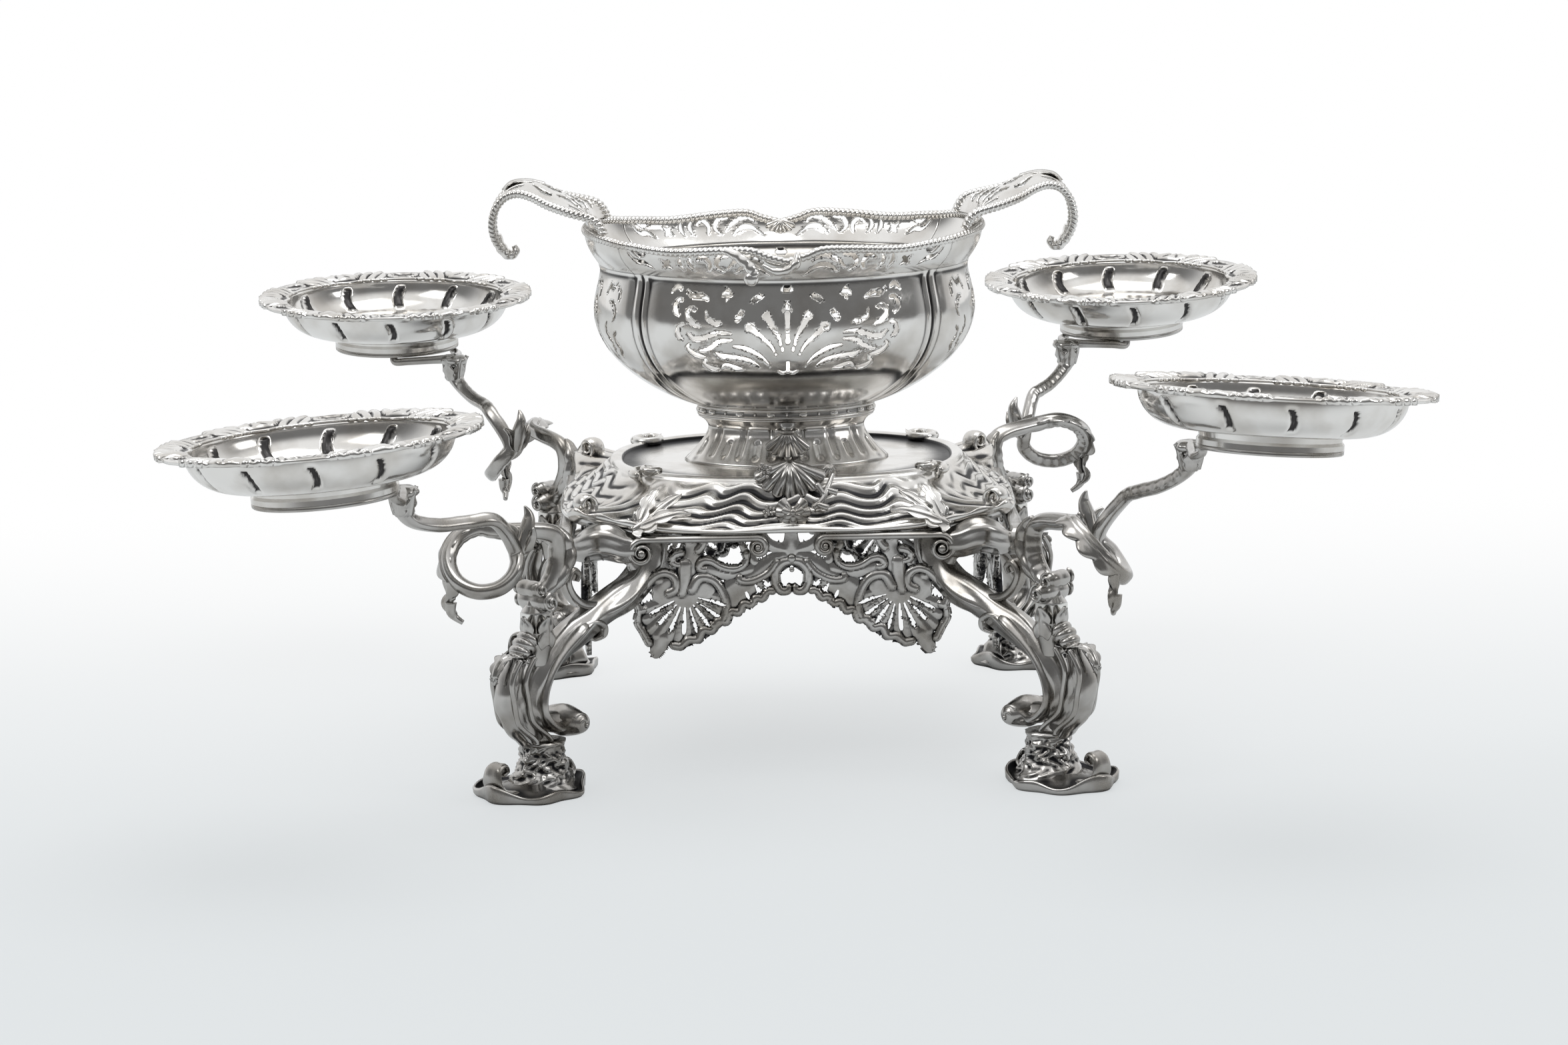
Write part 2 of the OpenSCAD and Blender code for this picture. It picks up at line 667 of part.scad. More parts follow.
module fork(i) {
    turn = CORNERS[i][4];
    lean = LEANS[i];
    calyx = [branch_reach, branch_reach, branch_h];
    seat_r = ring_d / 2;
    axis = branch_reach + fork_reach;
    grip = seat_r - lip_t;
    // Height of the leaning seat above its middle, under the end of each prong
    rise_at = function (angle)
        grip * (sin(lean[0]) * sin(angle) - sin(lean[1]) * cos(angle));
    color(dark_silver) at_branch(i) translate(settled(i)) {
        translate(calyx) cylinder(r1 = branch_r * 1.7, r2 = 7, h = seat_rise - seat_t);
        for (side = [0, 1])
            let (end_z = branch_h + seat_rise - seat_t / 2 + rise_at(turn + (side == 0 ? 270 : 180)))
            mirror([side, -side, 0])
                bar(curve([
                    [calyx[0], calyx[1], branch_h + 3.2, prong_r, prong_r],
                    [calyx[0] + fork_reach * 0.35, calyx[1] - 1, branch_h + 2.8, prong_r, prong_r],
                    [calyx[0] + fork_reach * 0.75, calyx[1] - 1, branch_h + 2.2, prong_r, prong_r],
                    [axis - 1, axis - grip - 1, end_z - 4, prong_r, prong_r],
                    [axis, axis - grip, end_z, prong_r, prong_r]], 3), [1, -1, 0], 8, end = [0, 0, 1]);
        translate([axis, axis, branch_h + seat_rise]) rotate(-turn) rotate([lean[0], lean[1], 0])
            rotate_extrude() polygon([
                [seat_r - ring_wall - ring_gap - lip_t, -seat_t], [seat_r, -seat_t], [seat_r, 0],
                [seat_r - ring_wall - ring_gap, 0], [seat_r - ring_wall - ring_gap, seat_lip_h],
                [seat_r - ring_wall - ring_gap - lip_t, seat_lip_h]]);
    }
}

// Dishes

ring_wall = 3;
border_t = 2.6;

module at_dish(i) {
    c = CORNERS[i];
    axis = branch_reach + fork_reach;
    t = knee_t * diagonal + axis;
    translate([c[1] * (leg_x + t), c[2] * (leg_y + t), branch_z + branch_h + seat_rise] + SHIFTS[i])
        rotate([LEANS[i][0], LEANS[i][1], 0]) translate([0, 0, seat_gap]) children();
}

// The bowl of a dish from its flat bottom to its border: [radius, height]
function bowl_line() =
    let (flat_r = ring_d / 2 + 9, rise = dish_h - border_t - ring_h)
    concat([[0, ring_h]],
        [for (s = [0:15:90]) [flat_r + (bowl_d / 2 - flat_r) * sin(s), ring_h + rise * (1 - cos(s))]]);

module dish(i) {
    line = bowl_line();
    color(bright) at_dish(i) rotate_extrude($fn = 96)
        polygon(concat(line, [[bowl_d / 2 - dish_wall, dish_h - border_t]],
            reversed([for (p = beside(line, dish_wall)) if (p[1] < dish_h - border_t - 0.5) [max(p[0], 0), p[1]]])));
}

module dish_border(i) {
    outline = [for (a = [0:2.5:357.5])
        (dish_d / 2 - scallop_depth * (1 - abs(cos(border_scallops * a / 2)))) * [cos(a), sin(a)]];
    color(silver) at_dish(i) translate([0, 0, dish_h - border_t])
        linear_extrude(height = border_t) difference() {
            polygon(outline);
            circle(d = bowl_d - 2 * dish_wall, $fn = 96);
        }
}

module dish_foot(i) {
    outer = ring_d / 2;
    color(silver) at_dish(i) rotate_extrude($fn = 96) polygon([
        [outer - ring_wall, 0], [outer, 0], [outer, ring_h * 0.35], [outer - 1.2, ring_h * 0.55],
        [outer - 0.6, ring_h], [outer - ring_wall, ring_h]]);
}

// The pieces

platform();
stem();
collar();
shell(0);  // shell_front
shell(180);  // shell_rear
basket_body();
basket_rim();
basket_foot();
for (k = [0:1]) handle(k);
for (k = [0:3]) apron(k);
for (k = [0:3]) edge_scroll(k);
for (i = [0:3]) let (name = CORNERS[i][0]) {
    foot(i);
    leg(i);
    socket(i);
    branch(i);
    fork(i);
    dish(i);
    dish_border(i);
    dish_foot(i);
}
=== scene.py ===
"""A silver epergne in its worked finish: pierced basket, wrythen dishes and cast scrolls."""
import math

import bmesh
import bpy
import numpy as np
from mathutils import Matrix


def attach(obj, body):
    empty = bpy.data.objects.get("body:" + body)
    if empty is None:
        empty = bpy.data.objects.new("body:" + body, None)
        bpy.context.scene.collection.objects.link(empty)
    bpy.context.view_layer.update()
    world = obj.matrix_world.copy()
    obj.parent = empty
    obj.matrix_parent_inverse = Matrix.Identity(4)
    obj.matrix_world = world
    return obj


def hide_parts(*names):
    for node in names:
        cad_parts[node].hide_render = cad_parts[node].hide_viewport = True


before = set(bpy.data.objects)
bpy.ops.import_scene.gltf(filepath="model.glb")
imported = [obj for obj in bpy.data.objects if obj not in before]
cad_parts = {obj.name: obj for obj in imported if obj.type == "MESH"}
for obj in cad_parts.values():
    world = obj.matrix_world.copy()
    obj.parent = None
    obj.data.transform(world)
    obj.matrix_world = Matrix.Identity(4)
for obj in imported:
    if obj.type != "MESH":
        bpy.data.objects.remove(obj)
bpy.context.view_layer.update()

# Sizes in millimetres. They are the construction's, but for the basket's neck and the
# branches' radius, which lie nearer to the photograph's
MM = 0.001
SEAT_GAP = 0.1
FOOT_H, FOOT_R, ROCK_INSET = 27, 27, 9
LEG_REACH, LEG_X, LEG_Y = 92, 75, 85
KNEE_Z, KNEE_T, SOCKET_H = 86, 85, 10
PLATFORM_Z, PLATFORM_H = 128, 23
PLATEAU_Z = PLATFORM_Z + PLATFORM_H
LIP_A, LIP_B, TOP_A, TOP_B, HOLE_A, HOLE_B = 124, 105, 90, 72, 44, 24
STEM_H, STEM_WAIST, STEM_FLARE = 25, 8, 8
COLLAR_W, COLLAR_D, COLLAR_H = 96, 56, 6
COLLAR_Z = PLATEAU_Z + STEM_H
BASKET_Z = COLLAR_Z + COLLAR_H + SEAT_GAP
BASKET_H, BELLY_Z, BELLY = 92, 53, 57
NECK_Z, NECK, RIM, BASKET_WALL, ROPE_R = 78, 53, 61, 1.8, 2.6
BRANCH_Z = KNEE_Z + SOCKET_H + SEAT_GAP
BRANCH_H, BRANCH_REACH, BRANCH_R = 80, 63, 4.0
FORK_REACH, SEAT_RISE = 36, 8
DISH_D, BOWL_D, DISH_H, RING_D, RING_H = 165, 136, 30, 74, 7.5
DISH_WALL, BORDER_T = 1.8, 2.6

# The four corners: side of X, side of Y, turn of the leg, turn of the branch,
# lean of the dish about X and Y in degrees, and how far it has settled
CORNERS = {
    "front_left": (-1, -1, 225, 180, (-1.9, -4.3), (0, -8, -4.5)),
    "front_right": (1, -1, 315, 270, (-5, 3.8), (3, 0, 10)),
    "rear_right": (1, 1, 45, 0, (2.5, -0.9), (-26, -3, 2)),
    "rear_left": (-1, 1, 135, 90, (1.9, -0.2), (4, 3, -1.5)),
}
SIDES = {"front": 0, "right": 90, "rear": 180, "left": 270}
HANDS = {"right": 0, "left": 180}
DIAGONAL = math.sqrt(0.5)

# The collar's oval: four quarter arcs whose middles are the corners of a square
OVAL_SQUARE = (COLLAR_W - COLLAR_D) / 2 / (math.sqrt(2) - 1)
OVAL_C = OVAL_SQUARE * DIAGONAL
OVAL_END_R = COLLAR_W / 2 - OVAL_C
OVAL_SIDE_R = OVAL_END_R + OVAL_SQUARE


# Curves and grids

def smooth(low, high, x):
    """Smooth step: 0 below low, 1 above high and an S between."""
    t = np.clip((x - low) / (high - low), 0, 1)
    return t * t * (3 - 2 * t)


def bump(x, width):
    """Bell of height 1 at x = 0 that falls to a third at the given width."""
    return np.exp(-(x / width) ** 2)


def spline(points, count):
    """Curve through the points at count even steps: each span is a cubic that
    leaves a point along the line between its two neighbours."""
    p = np.asarray(points, float)
    n = len(p) - 1
    s = np.linspace(0, n, count)
    i = np.minimum(s.astype(int), n - 1)
    t = (s - i)[:, None]
    a, b = p[np.maximum(i - 1, 0)], p[i]
    c, d = p[i + 1], p[np.minimum(i + 2, n)]
    bend = (2 * a - 5 * b + 4 * c - d) * t ** 2 + (3 * b - a - 3 * c + d) * t ** 3
    return 0.5 * (2 * b + (c - a) * t + bend)


def lengthwise(count, *stops):
    """Values along a curve, given at even stops and blended between them."""
    return spline([[v] for v in stops], count)[:, 0]


def unit(v):
    """Vectors of length 1 along v."""
    return v / np.maximum(np.linalg.norm(v, axis=-1, keepdims=True), 1e-9)


def turned(points, degrees, place=(0, 0, 0)):
    """Points turned about Z, then moved."""
    a = math.radians(degrees)
    c, s = math.cos(a), math.sin(a)
    turn = np.array([[c, s, 0], [-s, c, 0], [0, 0, 1]])
    return points @ turn + np.asarray(place, float)


def leaned(points, lean, place):
    """Points turned about X, then about Y, then moved."""
    x, y = (math.radians(a) for a in lean)
    about_x = np.array([[1, 0, 0], [0, math.cos(x), math.sin(x)], [0, -math.sin(x), math.cos(x)]])
    about_y = np.array([[math.cos(y), 0, -math.sin(y)], [0, 1, 0], [math.sin(y), 0, math.cos(y)]])
    return points @ about_x @ about_y + np.asarray(place, float)


def lattice(points, wrap_u=False, wrap_v=False, cap=False):
    """Quads over a grid of points. A wrapped way closes on itself, and a cap closes
    both ends of u with a fan. Gives the points, the quads and the triangles."""
    nu, nv = points.shape[:2]
    i, j = np.meshgrid(np.arange(nu - (not wrap_u)), np.arange(nv - (not wrap_v)), indexing="ij")
    k, m = (i + 1) % nu, (j + 1) % nv
    quads = np.stack([i * nv + j, k * nv + j, k * nv + m, i * nv + m], -1).reshape(-1, 4)
    flat = points.reshape(-1, 3)
    if not cap:
        return flat, quads, np.zeros((0, 3), int)
    first, last = np.arange(nv), (nu - 1) * nv + np.arange(nv)
    a, b = len(flat), len(flat) + 1
    fans = [np.stack([np.full(nv, a), np.roll(first, -1), first], -1),
            np.stack([np.full(nv, b), last, np.roll(last, -1)], -1)]
    flat = np.vstack([flat, points[0].mean(0), points[-1].mean(0)])
    return flat, quads, np.vstack(fans)


def frames(path, across=None):
    """Directions along a path and two directions square to it. With across, the
    second lies as near to across as it can; without, the pair turns as little as it can."""
    ahead = unit(np.gradient(path, axis=0))
    if across is not None:
        across = np.broadcast_to(across, path.shape)
        b = unit(across - (across * ahead).sum(-1, keepdims=True) * ahead)
        return ahead, b, np.cross(ahead, b)
    b = np.zeros_like(path)
    seed = np.eye(3)[np.abs(ahead[0]).argmin()]
    for k, d in enumerate(ahead):
        seed = unit(seed - (seed @ d) * d)
        b[k] = seed
    return ahead, b, np.cross(ahead, b)


def bar(path, thick, wide=None, across=None, sides=16, flute=None):
    """Closed bar along a path: every section is an ellipse of half sizes thick and wide,
    the wide way lying along across, times the share that flute gives for
    (place along, angle round)."""
    n = len(path)
    wide = thick if wide is None else wide
    thick, wide = (np.broadcast_to(np.asarray(w, float), n)[:, None] for w in (thick, wide))
    angle = np.linspace(0, 2 * np.pi, sides, endpoint=False)[None, :]
    share = 1 if flute is None else flute(np.linspace(0, 1, n)[:, None], angle)
    _, b, c = frames(path, across)
    ring = (thick * np.cos(angle) * share)[..., None] * c[:, None]
    ring = ring + (wide * np.sin(angle) * share)[..., None] * b[:, None]
    return lattice(path[:, None] + ring, wrap_v=True, cap=True)


def blade(path, width, up, cup=0.0, lobes=0, cut=0.3, vein=0.6, thick=1.2, steps=13):
    """Closed leaf along a path. Its half width is cut into lobes along the edge, its sides
    rise by cup, each lobe has a rib, and the middle has a raised vein. up is the
    direction that the leaf's face looks to."""
    n = len(path)
    s = np.linspace(0, 1, n)[:, None]
    t = np.linspace(-1, 1, steps)[None, :]
    width = np.broadcast_to(np.asarray(width, float), n)[:, None]
    ahead, face, _ = frames(path, up)
    side = np.cross(face, ahead)
    wave = np.abs(np.sin(np.pi * lobes * s)) if lobes else np.ones_like(s)
    reach = width * (1 - cut * np.abs(t) * (1 - wave))
    rise = cup * width * t ** 2 + vein * bump(t, 0.16) + 0.35 * vein * np.abs(t) * wave
    body = thick * (1 - 0.75 * t ** 2)
    drag = -0.5 * width * np.abs(t) * (1 if lobes else 0)
    sheet = path[:, None] + (reach * t)[..., None] * side[:, None] + drag[..., None] * ahead[:, None]
    top = sheet + rise[..., None] * face[:, None]
    under = sheet + (rise - body)[..., None] * face[:, None]
    return lattice(np.concatenate([top, under[:, ::-1]], 1), wrap_v=True, cap=True)


def spiral(middle, start_r, end_r, start_deg, turns, count=90):
    """Flat spiral about a middle, from one radius and angle inwards; columns are X and Z."""
    s = np.linspace(0, 1, count)
    a = np.radians(start_deg + 360 * turns * s)
    r = start_r + (end_r - start_r) * s ** 0.85
    return np.stack([middle[0] + r * np.cos(a), np.zeros(count), middle[1] + r * np.sin(a)], -1)


def ball(middle, half, rows=10, sides=16):
    """Closed ellipsoid of three half sizes."""
    u = np.linspace(0.04, np.pi - 0.04, rows)[:, None]
    v = np.linspace(0, 2 * np.pi, sides, endpoint=False)[None, :]
    shape = np.stack([np.sin(u) * np.cos(v), np.sin(u) * np.sin(v), np.cos(u) + 0 * v], -1)
    return lattice(np.asarray(middle, float) + shape * np.asarray(half, float), wrap_v=True, cap=True)


def moved(shell, change):
    """The same shell with its points changed by a function."""
    return change(shell[0]), shell[1], shell[2]


def all_moved(shells, change):
    """Some shells with their points changed by one function."""
    return [moved(shell, change) for shell in shells]


def strokes_gap(x, y, strokes):
    """Distance from places (x, y) to the nearest of some tapering strokes, negative inside.
    A stroke is a curve through points of X, Y and half width."""
    gap = np.full(x.shape, 1e3)
    for stroke in strokes:
        for cx, cy, r in spline(stroke, 8 * len(stroke)):
            np.minimum(gap, np.hypot(x - cx, y - cy) - r, out=gap)
    return gap


def pierced(field, surface, u, v, wrap_u=False):
    """Sheet over the grid u by v with holes where the field is below zero. Points near a
    hole's edge slide along the grid onto it; cells that still reach into a hole go, apart
    from the half of a cell that keeps three corners."""
    nu, nv = len(u), len(v)
    i, j = np.meshgrid(np.arange(nu, dtype=float), np.arange(nv, dtype=float), indexing="ij")
    f = field(u[:, None] + 0 * j, v[None, :] + 0 * i)
    gi, gj = np.gradient(f)
    steep = gi ** 2 + gj ** 2 + 1e-12
    near = np.abs(f) < 0.62 * np.sqrt(steep)
    i = i - np.where(near, np.clip(f * gi / steep, -0.6, 0.6), 0)
    j = j - np.where(near, np.clip(f * gj / steep, -0.6, 0.6), 0)
    solid = near | (f > 0)
    uu = np.interp(i, np.arange(nu), u)
    vv = np.interp(j, np.arange(nv), v)
    points, quads, _ = lattice(surface(uu, vv), wrap_u=wrap_u)
    kept = solid.ravel()[quads]
    whole = quads[kept.all(1)]
    part = quads[kept.sum(1) == 3]
    missing = (~kept[kept.sum(1) == 3]).argmax(1)
    order = (missing[:, None] + np.array([1, 2, 3])) % 4
    tris = np.take_along_axis(part, order, 1)
    used = np.unique(np.concatenate([whole.ravel(), tris.ravel()]))
    renumber = np.zeros(len(points), int)
    renumber[used] = np.arange(len(used))
    return points[used], renumber[whole], renumber[tris]


# Finishes

def link(tree, source, output, target, name):
    """Joins one node's output to another node's input."""
    tree.links.new(source.outputs[output], target.inputs[name])


def wear_group():
    """Shared look of old silver. The hollow attribute and a broad cloud of patina choose
    between bright metal, warm patina and dark oxide, and make it less shiny."""
    group = bpy.data.node_groups.new("old_silver", "ShaderNodeTree")
    sockets = (("INPUT", "Color", ("Bright", "Patina", "Oxide")), ("INPUT", "Float", ("Shine", "Cloud")),
               ("OUTPUT", "Color", ("Color",)), ("OUTPUT", "Float", ("Roughness", "Height")))
    for way, kind, names in sockets:
        for name in names:
            group.interface.new_socket(name, in_out=way, socket_type=f"NodeSocket{kind}")
    new = group.nodes.new
    entry, leave = new("NodeGroupInput"), new("NodeGroupOutput")
    place, hollow = new("ShaderNodeTexCoord"), new("ShaderNodeAttribute")
    hollow.attribute_name = "hollow"
    cloud, fine = new("ShaderNodeTexNoise"), new("ShaderNodeTexNoise")
    cloud.inputs["Scale"].default_value = 38
    cloud.inputs["Detail"].default_value = 5
    fine.inputs["Scale"].default_value = 420
    fine.inputs["Detail"].default_value = 3
    patina, oxide = new("ShaderNodeMapRange"), new("ShaderNodeMapRange")
    patina.inputs["From Min"].default_value = 0.42
    patina.inputs["From Max"].default_value = 0.66
    oxide.inputs["From Min"].default_value = 0.06
    oxide.inputs["From Max"].default_value = 0.85
    oxide.interpolation_type = "SMOOTHSTEP"
    share, stain, dark = new("ShaderNodeMath"), new("ShaderNodeMix"), new("ShaderNodeMix")
    share.operation = "MULTIPLY"
    stain.data_type = dark.data_type = "RGBA"
    dull, grain, polish = (new("ShaderNodeMath") for _ in range(3))
    for node in (dull, grain, polish):
        node.operation = "MULTIPLY_ADD"
    dull.inputs[1].default_value = 0.22
    grain.inputs[1].default_value = 0.12
    polish.inputs[1].default_value = 0.1
    for source, output, target, name in (
            (place, "Object", cloud, "Vector"), (place, "Object", fine, "Vector"),
            (cloud, "Fac", patina, "Value"), (patina, "Result", share, 0), (entry, "Cloud", share, 1),
            (share, 0, stain, "Factor"), (entry, "Bright", stain, "A"), (entry, "Patina", stain, "B"),
            (hollow, "Fac", oxide, "Value"), (oxide, "Result", dark, "Factor"),
            (stain, "Result", dark, "A"), (entry, "Oxide", dark, "B"), (dark, "Result", leave, "Color"),
            (oxide, "Result", dull, 0), (entry, "Shine", dull, 2), (fine, "Fac", grain, 0),
            (dull, 0, grain, 2), (share, 0, polish, 0), (grain, 0, polish, 2),
            (polish, 0, leave, "Roughness"), (fine, "Fac", leave, "Height")):
        link(group, source, output, target, name)
    return group


WEAR = wear_group()


def silver(name, bright, patina, oxide, shine, cloud, grain):
    """Silver of one finish: the shared wear with this finish's colours, and a fine grain."""
    material = bpy.data.materials.new(name)
    material.use_nodes = True
    tree = material.node_tree
    metal = tree.nodes["Principled BSDF"]
    metal.inputs["Metallic"].default_value = 1
    wear, relief = tree.nodes.new("ShaderNodeGroup"), tree.nodes.new("ShaderNodeBump")
    wear.node_tree = WEAR
    for socket, colour in (("Bright", bright), ("Patina", patina), ("Oxide", oxide)):
        wear.inputs[socket].default_value = (*colour, 1)
    wear.inputs["Shine"].default_value = shine
    wear.inputs["Cloud"].default_value = cloud
    relief.inputs["Strength"].default_value = grain
    relief.inputs["Distance"].default_value = 0.0002
    link(tree, wear, "Color", metal, "Base Color")
    link(tree, wear, "Roughness", metal, "Roughness")
    link(tree, wear, "Height", relief, "Height")
    link(tree, relief, "Normal", metal, "Normal")
    return material


FINISH = {
    "silver_bright": silver("silver_bright", (0.78, 0.77, 0.75), (0.52, 0.49, 0.45),
                            (0.05, 0.048, 0.048), 0.07, 0.7, 0.06),
    "silver_plate": silver("silver_plate", (0.76, 0.75, 0.73), (0.56, 0.53, 0.49),
                           (0.035, 0.035, 0.037), 0.1, 0.75, 0.1),
    "silver_cast": silver("silver_cast", (0.5, 0.49, 0.475), (0.28, 0.262, 0.236),
                          (0.018, 0.018, 0.02), 0.13, 0.9, 0.16),
}


def ramp(tree, source, output, ends, low=0.0, high=1.0):
    """Smooth ramp of a node's output, from low at the first end to high at the second."""
    node = tree.nodes.new("ShaderNodeMapRange")
    node.interpolation_type = "SMOOTHSTEP"
    for name, value in zip(("From Min", "From Max", "To Min", "To Max"), (*ends, low, high)):
        node.inputs[name].default_value = value
    link(tree, source, output, node, "Value")
    return node


def combined(tree, operation, *pairs):
    """One number from two outputs, each given as a node and the output's name."""
    node = tree.nodes.new("ShaderNodeMath")
    node.operation = operation
    for k, (source, output) in enumerate(pairs):
        link(tree, source, output, node, k)
    return node


# Making a piece

def hollow_of(mesh, depth, rounds):
    """How deep each point lies under the surface round it, as a share of depth: the points
    are drawn towards their neighbours some times, and the move outwards is measured."""
    count = len(mesh.vertices)
    co, normal = np.empty(count * 3), np.empty(count * 3)
    mesh.vertices.foreach_get("co", co)
    mesh.vertex_normals.foreach_get("vector", normal)
    edges = np.empty(len(mesh.edges) * 2, int)
    mesh.edges.foreach_get("vertices", edges)
    a, b = edges.reshape(-1, 2).T
    ends, others = np.concatenate([a, b]), np.concatenate([b, a])
    degree = np.maximum(np.bincount(ends, minlength=count), 1)
    co, normal = co.reshape(-1, 3), normal.reshape(-1, 3)
    drawn = co.copy()
    for _ in range(rounds):
        drawn = np.stack([np.bincount(ends, drawn[others, k], count) / degree for k in range(3)], -1)
    deep = ((drawn - co) * normal).sum(-1) / (depth * MM)
    return np.clip(deep, 0, 1)


def mesh_of(name, shells):
    """One smooth mesh in metres from some shells in millimetres, with its faces outwards."""
    points, quads, tris, start = [], [], [], 0
    for p, q, t in shells:
        points.append(p)
        quads.append(q + start)
        tris.append(t + start)
        start += len(p)
    points, quads, tris = np.vstack(points) * MM, np.vstack(quads), np.vstack(tris)
    mesh = bpy.data.meshes.new(name)
    mesh.vertices.add(len(points))
    mesh.vertices.foreach_set("co", points.ravel())
    mesh.loops.add(quads.size + tris.size)
    mesh.loops.foreach_set("vertex_index", np.concatenate([quads.ravel(), tris.ravel()]))
    sizes = np.concatenate([np.full(len(quads), 4), np.full(len(tris), 3)])
    mesh.polygons.add(len(sizes))
    mesh.polygons.foreach_set("loop_start", np.concatenate([[0], np.cumsum(sizes)[:-1]]))
    mesh.polygons.foreach_set("loop_total", sizes)
    mesh.update(calc_edges=True)
    work = bmesh.new()
    work.from_mesh(mesh)
    bmesh.ops.recalc_face_normals(work, faces=work.faces)
    work.to_mesh(mesh)
    work.free()
    mesh.polygons.foreach_set("use_smooth", np.ones(len(mesh.polygons), bool))
    mesh.update()
    return mesh


def make(name, shells, body, slot, nodes=(), wall=0, depth=0.5, rounds=10):
    """One piece from some shells in millimetres. It rides on a body, takes a slot's finish
    and may stand for construction nodes. wall gives an open sheet its thickness."""
    mesh = mesh_of(name, shells)
    hollow = mesh.attributes.new("hollow", "FLOAT", "POINT")
    hollow.data.foreach_set("value", hollow_of(mesh, depth, rounds))
    mesh.materials.append(FINISH[slot])
    piece = bpy.data.objects.new(name, mesh)
    bpy.context.scene.collection.objects.link(piece)
    if wall:
        thicken = piece.modifiers.new("wall", "SOLIDIFY")
        thicken.thickness = wall * MM
        thicken.offset = 0
    if nodes:
        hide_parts(*nodes)
    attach(piece, body)
    return piece


def keep(node, slot):
    """A construction node that is shown as it is, in a slot's finish."""
    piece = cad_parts[node]
    piece.data.materials.clear()
    piece.data.materials.append(FINISH[slot])


# The oval and the basket

def oval(spread, angle):
    """Places on the oval that lies spread outside the collar, where it faces the angle in
    degrees: end arcs from -45 to 45, side arcs between them."""
    a = (np.asarray(angle, float) + 45) % 180 - 45
    flip = np.where((np.asarray(angle, float) + 45) % 360 < 180, 1, -1)
    rad = np.radians(a)
    end = a < 45
    x = np.where(end, OVAL_C + (OVAL_END_R + spread) * np.cos(rad), (OVAL_SIDE_R + spread) * np.cos(rad))
    y = np.where(end, (OVAL_END_R + spread) * np.sin(rad), (OVAL_SIDE_R + spread) * np.sin(rad) - OVAL_C)
    return flip * x, flip * y


SWELL = 1.6
# Angle from a side's middle at which two reeds edge a panel, half the gap between the reeds,
# their width, and the height of the wall's start over the basket's seat
RIB_DEG, REED_GAP, REED_WIDE, WALL_LIFT = 42.0, 2.6, 1.5, 0.3
# Rise of the basket's rim, by the angle from the middle of a long side
RIM_WAVE = spline([[0, -4.5], [5, -1.5], [9, 1.5], [16, 1.5], [30, 0], [42, 2], [55, 4], [70, 4.6],
                   [90, 4.6]], 160)
# The flared rim is squarer than the foot: its corners stand out by this much
CORNER_OUT, CORNER_AT, CORNER_WIDE = 4.5, 52, 20
# How far up the wall the panels' and the band's patterns start
PANEL_LIFT, BAND_LIFT = 12, 6
# Shares of the wall's outline at which the belly and the neck lie
BELLY_V, NECK_V = 0.55, 0.7


def rim_rise(angle):
    """How far the rim stands above its level where the oval faces the angle."""
    off = np.abs(np.asarray(angle, float) % 180 - 90)
    return np.interp(off, RIM_WAVE[:, 0], RIM_WAVE[:, 1])


def rim_corner(angle):
    """How far the rim's corners stand out from the oval."""
    off = np.abs(np.asarray(angle, float) % 180 - 90)
    return CORNER_OUT * bump(off - CORNER_AT, CORNER_WIDE)


def basket_wall(v, angle):
    """Spread and height of the basket's wall at share v of its outline: a swelling belly, a
    cosine in to the neck, and a sine flare to the wavy rim at 1."""
    belly = np.clip(v / BELLY_V, 0, 1) * np.pi / 2
    waist = np.clip((v - BELLY_V) / (NECK_V - BELLY_V), 0, 1)
    flare = np.clip((v - NECK_V) / (1 - NECK_V), 0, 1)
    spread = BELLY * np.sin(belly) ** SWELL - (BELLY - NECK) * (1 - np.cos(np.pi * waist)) / 2
    spread = spread + (RIM - NECK + rim_corner(angle)) * np.sin(np.pi / 2 * flare)
    height = BELLY_Z * (1 - np.cos(belly)) + (NECK_Z - BELLY_Z) * waist
    height = height + (BASKET_H + rim_rise(angle) - NECK_Z) * flare
    return spread, height


def basket_point(angle, v):
    """Place on the basket. Two reeds stand up along each panel's edge between foot and neck,
    and a bead runs under the neck."""
    spread, height = basket_wall(v, angle)
    off = np.abs(angle % 180 - 90)
    gap = np.radians(off - RIB_DEG) * (OVAL_SIDE_R + spread)
    band = smooth(0.03, 0.1, v) * (1 - smooth(0.66, 0.72, v))
    reeds = bump(gap - REED_GAP, REED_WIDE) + bump(gap + REED_GAP, REED_WIDE) - 0.7 * bump(gap, 1.0)
    panel = smooth(0, 14, np.abs(gap)) - 1
    spread = spread + band * (1.1 * reeds + 1.3 * panel) + 0.7 * bump(v - NECK_V, 0.008)
    x, y = oval(spread - BASKET_WALL / 2, angle)
    return np.stack([x, y, BASKET_Z + WALL_LIFT + height], -1)


